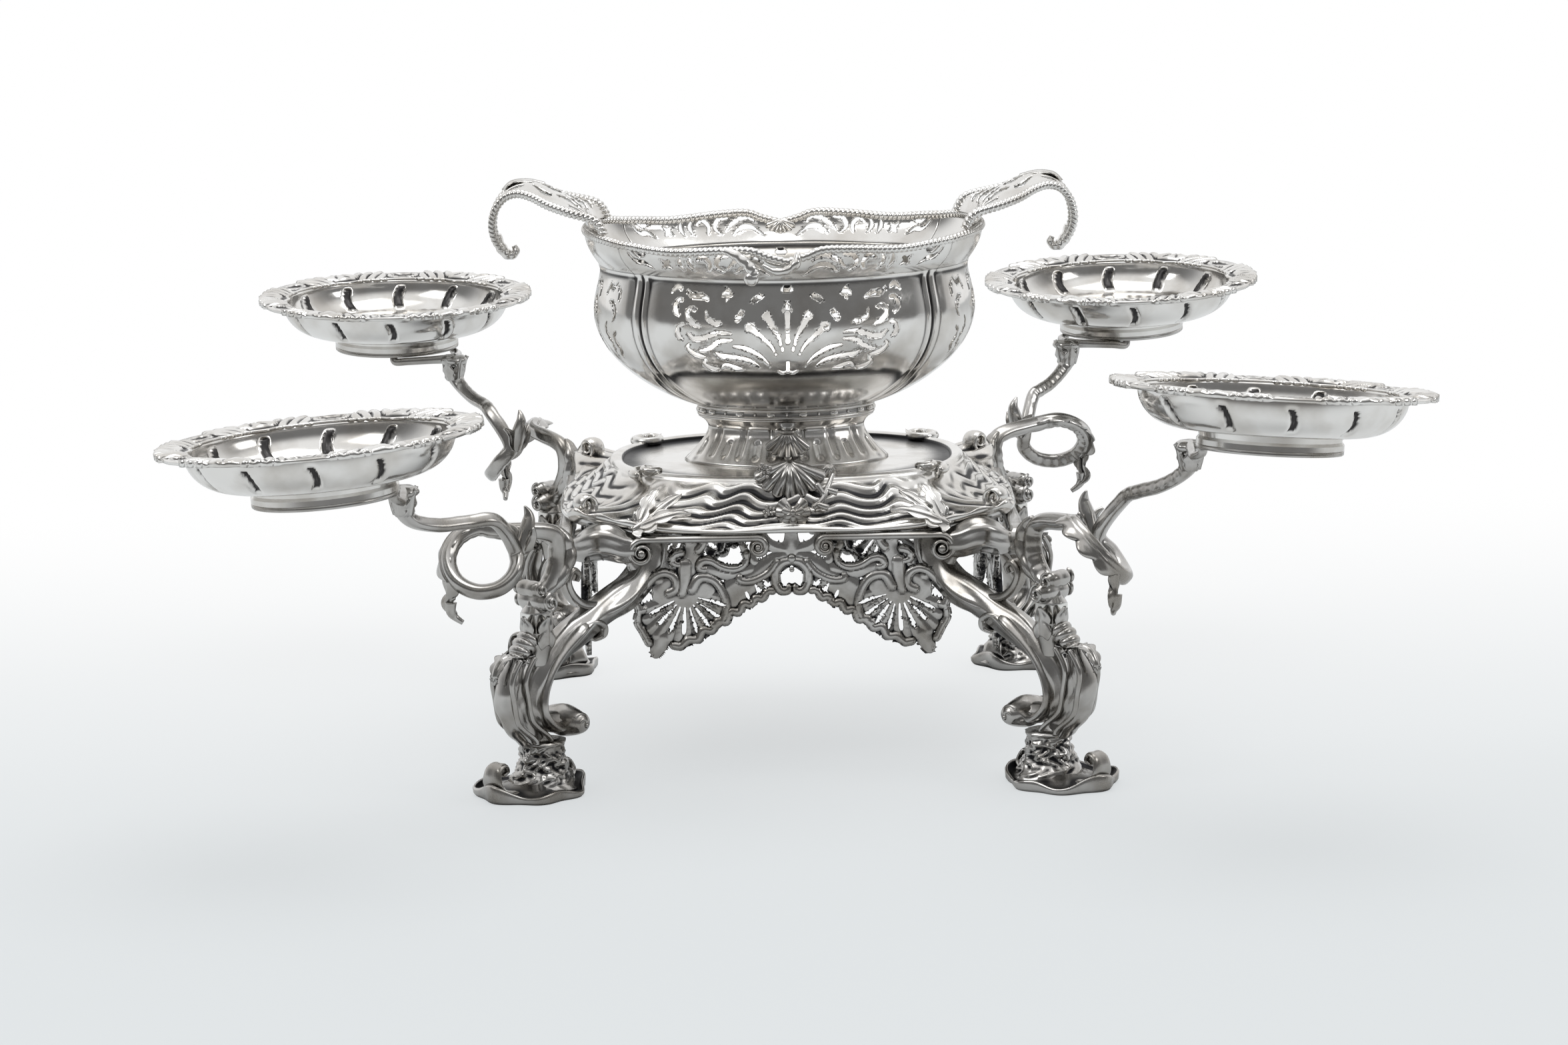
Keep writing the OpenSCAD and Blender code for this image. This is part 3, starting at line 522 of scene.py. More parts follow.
# Half of the pattern that is cut through a long panel: X along the wall from the panel's
# middle, Y up from the basket's seat, and half width
LONG_PANEL = [
    [(0, 27, 0.4), (0, 36, 0.9), (0, 48, 1.5)],
    [(-2.4, 50, 0.6), (0, 52.5, 1.3), (0, 55, 0.5)],
    [(3, 27.5, 0.4), (5, 36, 0.9), (11, 46.5, 1.7)],
    [(9, 47.5, 0.5), (11, 48, 1.5), (13.5, 46, 0.6)],
    [(6.4, 25, 0.4), (10, 32, 1.0), (20, 41, 1.8)],
    [(18, 42.5, 0.6), (20.5, 42, 1.6), (22, 39.5, 0.6)],
    [(9.5, 18.5, 0.3), (15, 25, 1.1), (23, 29.5, 1.4), (31, 31, 0.4)],
    [(15, 18, 0.3), (21, 22.5, 1.2), (29, 24.5, 1.3), (37, 25, 1.6), (41, 27, 0.5)],
    [(0, 16.5, 0.9), (0, 20, 1.0), (0, 24.5, 0.3)],
    [(0, 16.5, 0.6), (3, 15.6, 0.9), (6, 17, 0.5)],
    [(26, 17.5, 0.4), (31, 18.5, 1.5), (36, 20, 1.0), (39, 18, 0.5)],
    [(40, 17.5, 0.5), (45, 17.5, 1.6), (49, 20, 1.2), (47.5, 22.5, 0.5)],
    [(29, 34, 0.3), (37, 33.5, 1.2), (44, 29, 1.3), (50, 27.5, 0.7)],
    [(46, 24, 0.4), (53, 25.5, 1.7), (57, 29, 1.0), (55, 31.5, 0.5)],
    [(30, 38, 0.3), (38, 38, 1.2), (46, 35, 1.4), (52, 34.5, 1.5), (56, 37.5, 0.6)],
    [(58, 33, 0.4), (61.5, 36, 1.6), (61, 40.5, 0.9), (57.5, 41.5, 0.5)],
    [(35, 44, 0.3), (39, 43, 1.3), (44, 45.5, 1.0), (45, 49, 0.5)],
    [(48, 41, 0.4), (53, 43, 1.5), (56, 47, 1.2), (53.5, 50.5, 1.1), (50.5, 49.5, 0.6)],
    [(60, 46, 0.4), (63.5, 49.5, 1.5), (62, 54.5, 1.0), (58.5, 54.5, 0.6)],
    [(43, 55, 0.4), (48, 57, 1.3), (53.5, 57, 1.2), (57, 60, 0.5)],
    [(30, 57.5, 0.5), (33, 59, 1.6), (36, 57.5, 0.5)],
    [(33, 55, 0.4), (33, 59, 1.3), (33, 62, 0.5)],
    [(59.5, 60, 0.5), (63, 61.5, 1.3), (66, 59, 0.7)],
]
ARCH_DEG = (0, 32, 57)
ARCH_R, ARCH_Y, ARCH_HALF, ARCH_T = 31, 30, 3.4, 1.35
# Half of the pattern cut through an end panel
END_PANEL = [
    [(0, 20, 0.4), (0, 30, 1.2), (0, 38, 0.5)],
    [(4, 18, 0.3), (8, 26, 1.3), (5, 34, 1.2), (8, 39, 0.5)],
    [(11, 19, 0.4), (15, 24, 1.5), (13, 30, 1.2), (16.5, 34, 0.5)],
    [(0, 42, 0.4), (4, 45, 1.6), (9, 43, 1.2), (11, 39, 0.5)],
    [(14, 39, 0.4), (17, 44, 1.5), (14, 49, 1.2), (10, 49.5, 0.5)],
    [(0, 50, 0.5), (0, 56, 1.5), (0, 61, 0.5)],
    [(5, 53, 0.4), (8, 57.5, 1.4), (13, 57, 1.1), (16, 60.5, 0.5)],
    [(19, 50, 0.4), (20, 55, 1.2), (17.5, 59, 0.5)],
]
END_STEP = 25
END_PANEL += [[(x + END_STEP, y, r) for x, y, r in stroke] for stroke in END_PANEL if stroke[0][0] > 0]
# Half of the pattern cut through the flared band under the rim, from the middle of a side,
# and the spread of the oval that its lengths are taken on
BAND_SPREAD = NECK + 6
NECK_BAND = [
    [(9, 75.5, 0.4), (15, 79.5, 1.2), (22, 79.5, 1.4), (28, 76, 0.5)],
    [(13, 83, 0.4), (20, 84.5, 1.1), (27, 82, 1.2), (32, 78, 0.5)],
    [(30, 84.5, 0.5), (35.5, 84, 1.3), (38, 80, 1.2), (35, 77, 0.7)],
    [(43, 77, 0.5), (41.5, 81, 1.3), (45, 84.5, 1.1), (48.5, 82.5, 0.8)],
    [(51, 77, 0.4), (53, 81, 1.3), (52, 84.5, 0.5)],
    [(57, 77, 0.4), (58.5, 81, 1.3), (58, 84.5, 0.5)],
    [(64, 78, 0.5), (66.5, 80.5, 1.4), (69, 83, 0.5)],
    [(64, 83, 0.5), (66.5, 80.5, 1.4), (69, 78, 0.5)],
    [(76, 77, 0.4), (80, 80, 1.3), (85, 80, 1.2), (89, 84, 0.5)],
    [(78, 84.5, 0.4), (82, 83.5, 1.2), (86, 85.5, 0.5)],
]


def mirrored(strokes):
    """Strokes and the same strokes on the other side of the middle."""
    return strokes + [[(-x, y, r) for x, y, r in stroke] for stroke in strokes]


def arch_gap(x, y):
    """Distance to the short bars that stand in an arch over the fan of petals."""
    gap = np.full(x.shape, 1e3)
    for deg in sorted({side * d for d in ARCH_DEG for side in (-1, 1)}):
        c, s = math.cos(math.radians(deg)), math.sin(math.radians(deg))
        dx, dy = x - ARCH_R * s, y - ARCH_Y - ARCH_R * c
        across = dx * c - dy * s
        along = dx * s + dy * c
        gap = np.minimum(gap, np.maximum(np.abs(across) - ARCH_HALF, np.abs(along) - ARCH_T))
    return gap


def basket_holes(middle, long_side):
    """Field of one panel: distance to what is cut through it, by the oval's angle and the
    share of the outline. Lengths along the wall are taken at the belly or in the flare."""
    def field(angle, v):
        _, height = basket_wall(v, angle)
        band = rim_rise(angle) * (v - NECK_V) / (1 - NECK_V) + BAND_LIFT
        level = height - np.where(v > NECK_V, band, PANEL_LIFT)
        belly = np.radians(angle - middle) * ((OVAL_SIDE_R if long_side else OVAL_END_R) + BELLY)
        panel = LONG_PANEL if long_side else END_PANEL
        gap = strokes_gap(belly, level, mirrored(panel))
        if long_side:
            gap = np.minimum(gap, arch_gap(belly, level))
        quarter = np.abs(angle % 180 - 90)
        run = np.radians(np.minimum(quarter, 45)) * (OVAL_SIDE_R + BAND_SPREAD)
        run = run + np.radians(np.maximum(quarter - 45, 0)) * (OVAL_END_R + BAND_SPREAD)
        return np.minimum(gap, strokes_gap(run, level, NECK_BAND))
    return field


LONG_COLUMNS, END_COLUMNS = 212, 150
# Shares of the basket's outline: coarse on the plain foot, fine where it is cut through
BASKET_ROWS = np.concatenate([
    np.linspace(0.0, 0.34, 10, endpoint=False),
    np.linspace(0.34, 0.69, 72, endpoint=False),
    np.linspace(0.69, 0.73, 7, endpoint=False),
    np.linspace(0.73, 1, 28),
])


def basket():
    """The pierced wall in four panels that meet on the arcs' ends, and its plain floor."""
    for name, middle in (("front", 270), ("rear", 90), ("right", 0), ("left", 180)):
        long_side = name in ("front", "rear")
        angles = np.linspace(middle - 45, middle + 45, LONG_COLUMNS if long_side else END_COLUMNS)
        sheet = pierced(basket_holes(middle, long_side), basket_point, angles, BASKET_ROWS)
        nodes = ("basket_body",) if name == "front" else ()
        make(f"basket_panel_{name}", [sheet], "basket", "silver_bright", nodes,
             wall=1.4, depth=0.25, rounds=8)
    angle = np.arange(0, 360, 3.0)
    share = np.linspace(0.02, 1, 8)[:, None]
    x, y = oval(1.0, angle)
    bottom = np.stack([share * x, share * y, np.full_like(share * x, BASKET_Z + 1.0)], -1)
    make("basket_floor", [lattice(bottom, wrap_v=True)], "basket", "silver_bright", wall=1.2)
    keep("basket_foot", "silver_bright")


ROPE_DEPTH = 0.38


def rope(path, radius, pitch, sides=14, closed=False, depth=0.3):
    """Twisted rope along a path: the section dips between two strands that wind round once
    every pitch. A closed rope meets itself."""
    n = len(path)
    ring = np.concatenate([path, path[:1]]) if closed else path
    length = np.concatenate([[0], np.cumsum(np.linalg.norm(np.diff(ring, axis=0), axis=1))])
    phase = 2 * np.pi * round(length[-1] / pitch) * length[:n] / length[-1]
    angle = np.linspace(0, 2 * np.pi, sides, endpoint=False)[None, :]
    strand = np.abs(np.sin(phase[:, None] + angle)) ** 0.6
    r = np.broadcast_to(radius, n)[:, None] * (1 - depth + depth * strand)
    _, b, c = frames(path, (0, 0, 1) if closed else (0, 1, 0))
    ring = (r * np.cos(angle))[..., None] * b[:, None] + (r * np.sin(angle))[..., None] * c[:, None]
    return lattice(path[:, None] + ring, wrap_u=closed, wrap_v=True, cap=not closed)


def basket_rim():
    """The gadrooned rope round the wavy rim."""
    angle = np.linspace(0, 360, 1260, endpoint=False)
    x, y = oval(RIM + rim_corner(angle) - BASKET_WALL / 2, angle)
    path = np.stack([x, y, BASKET_Z + BASKET_H + rim_rise(angle) + 1.2], -1)
    strands = rope(path, ROPE_R * 0.92, 5.6, closed=True, depth=ROPE_DEPTH)
    make("basket_rim_rope", [strands], "basket", "silver_bright", ("basket_rim",), depth=0.3, rounds=6)


# Dishes

FLUTES, FLUTE_DEPTH, FLUTE_HALF, FLUTE_EDGE, FLUTE_SWING = 12, 2.2, 2.3, 0.8, 0.045


def at_dish(corner):
    """Change from a dish's own place to where it leans on its fork."""
    sx, sy, _, _, lean, shift = CORNERS[corner]
    reach = KNEE_T * DIAGONAL + BRANCH_REACH + FORK_REACH
    seat = BRANCH_Z + BRANCH_H + SEAT_RISE + SEAT_GAP
    place = (sx * (LEG_X + reach) + shift[0], sy * (LEG_Y + reach) + shift[1], seat + shift[2])
    return lambda p: leaned(p, lean, place)


def dish_bowl():
    """Bowl of a dish: flat floor, then a quarter ellipse up to the border. Flutes with sharp
    shoulders are pressed in from outside, each bowed to one side."""
    flat = RING_D / 2 + 9
    s = np.concatenate([np.linspace(-1, 0, 5, endpoint=False), np.linspace(0, 1, 27)])[:, None]
    theta = np.linspace(0, 2 * np.pi, 432, endpoint=False)[None, :]
    up = np.clip(s, 0, 1)
    lean = up * np.pi / 2
    r = np.where(s < 0, flat * (1 + 0.97 * s), flat + (BOWL_D / 2 - flat) * np.sin(lean))
    z = RING_H + (DISH_H - BORDER_T - RING_H) * (1 - np.cos(lean))
    period = 2 * np.pi / FLUTES
    swing = FLUTE_SWING * np.sin(np.pi * (up - 0.2) / 0.7)
    off = ((theta - swing + period / 2) % period - period / 2) * r
    shoulder = 1 - smooth(FLUTE_HALF - FLUTE_EDGE, FLUTE_HALF + FLUTE_EDGE, np.abs(off))
    window = smooth(0.3, 0.42, up) * (1 - smooth(0.82, 0.9, up))
    press = DISH_WALL / 2 + FLUTE_DEPTH * shoulder * window
    r = r - press * np.sin(lean)
    z = z + press * np.cos(lean)
    return lattice(np.stack([r * np.cos(theta), r * np.sin(theta), z + 0 * theta], -1), wrap_v=True)


# Shells round a dish's border, the radius that its lengths are taken on, the lobes' pitch
# and how far out of that radius a shell's hinge lies
SHELL_COUNT, BORDER_R, LOBE_PITCH, HINGE_OUT = 6, 75, 6.2, 8.5


def dish_border():
    """Border of a dish: a closed ring with shells, scroll hollows half way between them and
    slanting lobes beside both. Lobes and shells push the outer edge out."""
    theta = np.linspace(0, 2 * np.pi, 720, endpoint=False)[:, None]
    period = 2 * np.pi / SHELL_COUNT
    run = ((theta + period / 2) % period - period / 2) * BORDER_R
    from_scroll = np.abs(run) - period / 2 * BORDER_R
    lobe_zone = smooth(8, 11, np.abs(run)) * smooth(-9, -12, from_scroll)
    shell_zone = bump(run / 9.5, 1) ** 2
    edge_lobe = np.abs(np.sin(np.pi * run / LOBE_PITCH))
    outer = DISH_D / 2 - 1.7 + lobe_zone * (1.5 * edge_lobe ** 0.7)
    outer = outer + 1.4 * shell_zone + 0.7 * bump(from_scroll, 7)
    inner = BOWL_D / 2 - 1.6 - 3.2 * shell_zone - 1.2 * lobe_zone * edge_lobe
    v = np.linspace(0, 1, 15)[None, :]
    r = inner + (outer - inner) * v
    out = r - BORDER_R
    slant = np.abs(np.sin(np.pi * (np.abs(run) - 0.55 * out) / LOBE_PITCH)) ** 0.6
    lobes = lobe_zone * slant * np.sin(np.pi * np.clip((v - 0.06) / 1.25, 0, 1)) ** 0.5 * 2.4
    fan = np.arctan2(run, HINGE_OUT - out)
    far = np.hypot(run, HINGE_OUT - out)
    ribs = 0.62 + 0.38 * np.abs(np.cos(fan * 4.2))
    shell = 2.3 * ribs * smooth(16.5, 14.5, far) * smooth(1.6, 5, far) * smooth(1.35, 1.1, np.abs(fan))
    shell = shell + 2.0 * bump(far, 2.6)
    oval_gap = np.hypot(from_scroll / 8.5, (out + 0.5) / 4.6)
    hollow = 1.3 * bump(oval_gap - 1, 0.22) - 0.5 * smooth(1, 0.7, oval_gap)
    ridge = 0.9 * bump(v - 0.97, 0.07) + 0.5 * bump(v - 0.05, 0.05)
    top = DISH_H - 1.5 + 0.5 * v ** 2
    top = top + np.maximum.reduce([lobes, shell, hollow + 0 * v, ridge + 0 * theta])
    under = DISH_H - BORDER_T + 0.2 * v - 0.25 * lobes
    ring = lambda z, k: np.stack([k * np.cos(theta), k * np.sin(theta), z], -1)
    loop = np.concatenate([ring(top, r), ring(under, r - 0.25 * (v - 0.5))[:, ::-1]], 1)
    return lattice(loop, wrap_u=True, wrap_v=True)


def dishes():
    """Four dishes of bowl, border and foot ring, each leaning as its branch has settled."""
    bowl, border = dish_bowl(), dish_border()
    for corner in CORNERS:
        change = at_dish(corner)
        body = f"dish_set_{corner}"
        make(f"dish_bowl_{corner}", [moved(bowl, change)], body, "silver_bright",
             (f"dish_{corner}",), wall=1.6, depth=0.5, rounds=8)
        make(f"dish_edge_{corner}", [moved(border, change)], body, "silver_bright",
             (f"dish_border_{corner}",), depth=0.2, rounds=8)
        keep(f"dish_foot_{corner}", "silver_bright")


# Stand: platform, mouldings, stem and collar

EAR_AT, EAR_WIDE, EAR_OUT, EAR_RISE, EAR_FLUTE = 40.3, 8.5, 0.15, 11, 4.6
CREST_W, CREST_H, LIP_H, FLANGE_W, SHEET = 4, 2.5, 3, 20, 2.2
TOP_POWER, LIP_POWER = 2.3, 3.3
# The spray on each corner of the skirt: its main leaf, its side leaves and where they face
SPRAY = [(84, 101, 131), (76, 99.5, 136), (68, 94, 142), (58, 88, 147)]
SPRAY_FACE = (0, 0.75, 0.66)
LEAFLETS = [[(80, 101.5, 133), (71, 100.5, 136.5), (61, 98.5, 138.5), (53, 97.5, 138)],
            [(80, 100, 136), (77, 96, 142.5), (73, 91, 147.5), (70, 88, 150)]]
# Share out and share of the fall along the skirt, the waves on its lip and the inside of the
# platform as inset from the lip and height
SKIRT = spline([[0, 0], [0.28, 0.42], [0.6, 0.74], [1, 1]], 40)
LIP_WAVES, LIP_WAVE_H = 11, 0.7
INSIDE = ((FLANGE_W, PLATFORM_Z), (FLANGE_W, PLATFORM_Z + SHEET), (27, 138), (33, 146))


def lobed(a, b, power, angle):
    """Squarish oval of half axes a and b at an angle in radians; power fills its corners."""
    c, s = np.cos(angle), np.sin(angle)
    r = (np.abs(c / a) ** power + np.abs(s / b) ** power) ** (-1 / power)
    return np.stack([r * c, r * s], -1)


def ear_off(angle):
    """Degrees from the middle of the nearest of the platform's four corners."""
    return np.degrees(np.arctan2(np.abs(np.sin(angle)), np.abs(np.cos(angle)))) - EAR_AT


def corner_ornament():
    """What stands on one corner of the platform: a curl on the crest, the ear's hooked tip
    and a spray of three leaves on the skirt."""
    flat, knob = spiral((0, 0), 10, 2, 60, -1.3), spiral((0, 0), 6.0, 1.4, -100, -1.4)
    n = len(flat)
    curl = np.column_stack([flat[:, 0] + 76, flat[:, 2] + 52, PLATEAU_Z + 1.6 + np.linspace(0, 2.6, n)])
    out = DIAGONAL * np.array([1.1, 0.9])
    hook_z = knob[:, 2] + PLATFORM_Z + LIP_H + EAR_RISE + 1
    hook = np.column_stack([(142 + knob[:, :1]) * out, hook_z])
    across = (-out[1], out[0], 0)
    shells = [bar(curl, np.linspace(2.6, 1.8, n), sides=14),
              bar(hook, np.linspace(2.0, 1.3, n), np.linspace(6, 3.5, n), across, 12),
              blade(spline(SPRAY, 40), lengthwise(40, 4, 8.5, 7, 4.5, 0.6), SPRAY_FACE, cup=0.1, lobes=4,
                    cut=0.5, vein=1.4, thick=2.6)]
    for line in LEAFLETS:
        shells.append(blade(spline(line, 30), lengthwise(30, 2.5, 4.6, 3.4, 0.5), SPRAY_FACE, cup=0.1,
                            lobes=3, cut=0.5, vein=1.1, thick=2))
    return shells


def skirt_wave(run, s, corner):
    """Rows of waves down the skirt, which swing along the edge and die out at its top, at its
    foot and at the corners."""
    swing = 0.26 * np.sin(24 * run + 3 * s) + 0.2 * np.sin(13 * run + 1) + 0.08 * np.sin(37 * run + 2 * s)
    wave = np.sin(2 * np.pi * (4.6 * s + swing)) * smooth(0, 0.12, s) * (1 - smooth(0.9, 1, s))
    wave = wave * (0.75 + 0.25 * np.sin(17 * run + 6 * s))
    return 0.95 * np.sign(wave) * np.abs(wave) ** 0.8 * (1 - 0.9 * corner ** 0.3)


def platform():
    """The platform as one closed skin of rings: flat top, rolled crest, hollow-backed skirt
    with rows of waves, lip and underside. The skirt's corners scoop out and up into ears."""
    angle = np.linspace(0, 2 * np.pi, 640, endpoint=False)
    rim = lobed(LIP_A, LIP_B, LIP_POWER, angle)
    arc = np.concatenate([[0], np.cumsum(np.linalg.norm(np.diff(rim, axis=0), axis=1))])
    run = 2 * np.pi * arc / (arc[-1] + np.linalg.norm(rim[0] - rim[-1]))
    from_ear = ear_off(angle)
    corner = bump(from_ear, EAR_WIDE)
    lip_wave = LIP_WAVE_H * np.sin(LIP_WAVES * run)
    plain = 0 * angle
    rings = []

    def ring(a, b, power, z, out=plain):
        plan = lobed(a, b, power, angle) * (1 + out)[:, None]
        rings.append(np.column_stack([plan, z + plain]))

    for s in np.linspace(0, 1, 7)[:-1]:
        a, b = HOLE_A + (TOP_A - HOLE_A) * s, HOLE_B + (TOP_B - HOLE_B) * s
        ring(a, b, 2 + (TOP_POWER - 2) * s, PLATEAU_Z)
    for t in np.linspace(0, np.pi, 11)[:-1]:
        wide = CREST_W * (1 - np.cos(t))
        ring(TOP_A + wide, TOP_B + wide, TOP_POWER, PLATEAU_Z + CREST_H * np.sin(t))
    for s, fall in spline(SKIRT, 46):
        a = TOP_A + 2 * CREST_W + (LIP_A - TOP_A - 2 * CREST_W) * s
        b = TOP_B + 2 * CREST_W + (LIP_B - TOP_B - 2 * CREST_W) * s
        wave = skirt_wave(run, s, corner)
        rise = EAR_RISE * corner * s ** 2.5 + 1.3 * corner * s * np.cos(2 * np.pi * from_ear / EAR_FLUTE)
        z = PLATEAU_Z - (PLATFORM_H - LIP_H) * fall + rise + 1.05 * wave + lip_wave * s ** 3
        ring(a, b, TOP_POWER + (LIP_POWER - TOP_POWER) * s, z, EAR_OUT * corner * s ** 3 + 0.008 * wave)
    for t in np.linspace(0, 1, 7)[1:]:
        z = PLATFORM_Z + (LIP_H + lip_wave) * (1 - t) + EAR_RISE * corner * (1 - t)
        bulge = 1.1 * np.sin(np.pi * t)
        ring(LIP_A + bulge, LIP_B + bulge, LIP_POWER, z, EAR_OUT * corner * (1 - t ** 1.5))
    for inset, z in INSIDE:
        ring(LIP_A - inset, LIP_B - inset, LIP_POWER, z)
    ring(HOLE_A, HOLE_B, 2, PLATEAU_Z - SHEET)
    shells = [lattice(np.array(rings), wrap_u=True, wrap_v=True)]
    ornament = corner_ornament()
    for sx in (-1, 1):
        for sy in (-1, 1):
            shells += all_moved(ornament, lambda p: p * (sx, sy, 1))
    make("platform_skin", shells, "stand", "silver_plate", ("platform",), depth=0.55, rounds=12)


def groove(s, angle):
    """Share of a moulded strap's section: a channel runs along both of its broad faces."""
    return 1 - 0.3 * bump(np.cos(angle) ** 2 - 1, 0.22)


# Plan of the roll that joins the volutes of two edges round a corner, and its height
CORNER_ROLL = [(80, 96, 0), (90, 99, 2.5), (100, 99, 6), (109, 96, 2.5), (115, 90, 0)]
CORNER_ROLL_Z = 118.4
STRAP_Z = PLATFORM_Z - 2.6
# The small volute's place from the edge's middle and below the strap, and the strap's points
VOLUTE_X, VOLUTE_DROP, STRAP_POINTS = 18, 5, 24


def edge_scrolls():
    """A moulding under each edge of the platform: on both sides of the middle a strap that
    ends in a small volute there and in a large volute at the corner. On the front and the
    rear, a roll leads on round each corner to the next edge."""
    for side, turn in SIDES.items():
        long_side = turn % 180 == 0
        reach, corner = (LIP_B, LEG_X + 5) if long_side else (LIP_A, LEG_Y + 5)
        y = -(reach - 3.6)
        inner = spiral((VOLUTE_X, STRAP_Z - VOLUTE_DROP), VOLUTE_DROP, 1.2, 90, 1.7)[::-1]
        outer = spiral((corner, CORNER_ROLL_Z), STRAP_Z - CORNER_ROLL_Z, 1.6, 90, -1.8)
        line = np.linspace((VOLUTE_X + 2, 0, STRAP_Z), (corner - 2, 0, STRAP_Z), STRAP_POINTS)
        path = np.concatenate([inner, line, outer]) + (0, y, 0)
        n = len(path)
        wide = np.interp(np.linspace(0, 1, n), (0, 0.4, 0.6, 1), (3.4, 3.8, 5.0, 5.4))
        half = [bar(path, lengthwise(n, 0.8, 1.3, 2.3, 2.5, 2.3, 1.4, 0.9), wide, (0, 1, 0), 20, groove),
                ball((VOLUTE_X, y - 2.4, STRAP_Z - VOLUTE_DROP), (1.7, 1.7, 1.7)),
                ball((corner, y - 4.6, CORNER_ROLL_Z), (2.1, 1.8, 2.1))]
        if long_side:
            plan = spline([(px, -py, CORNER_ROLL_Z + up) for px, py, up in CORNER_ROLL], 60)
            half.append(bar(plan, lengthwise(60, 6, 8, 9, 10, 9, 7.6, 6), sides=36,
                            flute=lambda s, a: 1 + 0.05 * np.sin(7 * a + 5 * np.sin(np.pi * s))))
        both = half + all_moved(half, lambda p: p * (-1, 1, 1))
        make(f"edge_moulding_{side}", all_moved(both, lambda p: turned(p, turn)), "stand", "silver_cast",
             (f"edge_scroll_{side}",), depth=0.4, rounds=12)


def arc_of(angle, spread):
    """Length along the oval up to each of some angles."""
    x, y = oval(spread, angle)
    return np.concatenate([[0], np.cumsum(np.hypot(np.diff(x), np.diff(y)))])


# Length along the oval of one long and one short flute, and a flute's depth and width
FLUTE_PAIR, STEM_FLUTE_DEPTH, STEM_FLUTE_WIDE = 17, 1.7, 1.9


def stem():
    """Waisted oval stem with upright flutes that are long and short by turns."""
    angle = np.linspace(0, 360, 500, endpoint=False)
    arc = arc_of(angle, 0)
    count = 2 * round(arc[-1] / FLUTE_PAIR)
    pitch = arc[-1] / count * (1 + 1e-3)
    s = np.linspace(0, 1, 26)[:, None]
    which = np.round(arc / pitch)
    off = arc - which * pitch
    top = np.where(which % 2 == 0, 0.84, 0.5)
    window = smooth(0.1, 0.18, s) * (1 - smooth(top - 0.07, top, s))
    flute = STEM_FLUTE_DEPTH * bump(off, STEM_FLUTE_WIDE) ** 1.5 * window
    waist = STEM_FLARE - (STEM_FLARE + STEM_WAIST) * np.sin(np.pi / 2 * s)
    spread = waist + STEM_WAIST * s ** 6 - flute
    x, y = oval(spread, angle)
    skin = np.stack([x, y, PLATEAU_Z + STEM_H * s + 0 * x], -1)
    make("stem_fluted", [lattice(skin, wrap_v=True)], "stand", "silver_plate", ("stem",), wall=1.2)


# The collar's section as spread from the oval and height: the same moulding below and above
COLLAR_FOOT = [(-6, 0), (0.3, 0), (0.9, 0.5), (1.1, 1.1), (0.4, 1.7), (0, 2.1)]
COLLAR_LINE = COLLAR_FOOT + [(out, COLLAR_H - up) for out, up in reversed(COLLAR_FOOT)]
COLLAR_BEADS = 22


def collar():
    """Oval collar: two mouldings with oval beads and lozenges by turns between them."""
    angle = np.linspace(0, 360, 360, endpoint=False)[:, None]
    line = np.array(COLLAR_LINE)
    x, y = oval(line[:, 0], angle)
    band = np.stack([x, y, COLLAR_Z + line[:, 1] + 0 * x], -1)
    shells = [lattice(band, wrap_u=True, wrap_v=True)]
    for k in range(2 * COLLAR_BEADS):
        a = 180 * k / COLLAR_BEADS
        half = (1.5, 2.5, 1.75) if k % 2 == 0 else (0.7, 1.1, 1.0)
        bead = ball((0, 0, 0), half, 8, 16 if k % 2 == 0 else 4)
        shells.append(moved(bead, lambda p: turned(p, a, (*oval(0.1, a), COLLAR_Z + COLLAR_H / 2))))
    make("collar_band", shells, "stand", "silver_plate", ("collar",), depth=0.9, rounds=4)


# Cartouche of shells on the front and the rear

def scallop(half_deg, size, ribs, dome, rib):
    """Scallop shell in its own plane, hinge at the origin and fan below it: X across, Z up,
    -Y to the viewer. Ribs fan out, the edge follows them and the middle swells."""
    fan = np.linspace(-1, 1, 10 * ribs + 1)[:, None]
    out = np.linspace(0.06, 1, 18)[None, :]
    wave = np.abs(np.cos(np.pi * ribs * fan / 2))
    a = np.radians(half_deg) * fan
    reach = size * out * (0.92 + 0.1 * wave * out)
    swell = dome * np.sin(np.pi * out ** 0.8) * (1 - 0.6 * fan ** 2) + rib * wave * out ** 0.7
    return lattice(np.stack([reach * np.sin(a), -swell, -reach * np.cos(a)], -1))


# Scallops of the cartouche, from the stem out to the edge: the scallop's own sizes, its tip
# back and its turn in degrees, and its hinge's place, with the height over the plateau
SCALLOPS = [
    ((52, 16, 7, 3.4, 1.5), 0, 0, (0, -32, 21.5)),
    ((74, 20.5, 7, 4.4, 2.4), 16, 0, (0, -78, 11)),
    ((150, 9, 7, 3.2, 1.4), 0, 0, (1, -99.5, -12)),
    ((150, 5.5, 6, 2, 1), 0, 0, (1, -102, -12)),
    ((60, 8, 6, 2.5, 0.7), 0, 25, (20, -74, 9)),
]
# Upright neck over the small scallop, twig beside the large one and the twig's stubs
NECK_LINE = [(0, -34, 19.5), (0, -35, 22), (0, -34.5, 24.5)]
TWIG = [(12, -97, -11), (17, -95, -7), (20, -91, -1), (23, -85, 5)]
STUBS = [[(14, -97, -9), (20, -98, -11)], [(19, -92, -2), (25, -92, -4)], [(18, -94, -5), (14, -91, 1)]]
# Clusters of berries: middle, count, spread, lean to the viewer and radius
BERRIES = [((-14, -83, 8), 11, 1.3, 0.8, 1.2), ((-12, -99, -12), 9, 1.1, 0, 1.1)]
BERRY_TURN = 2.4


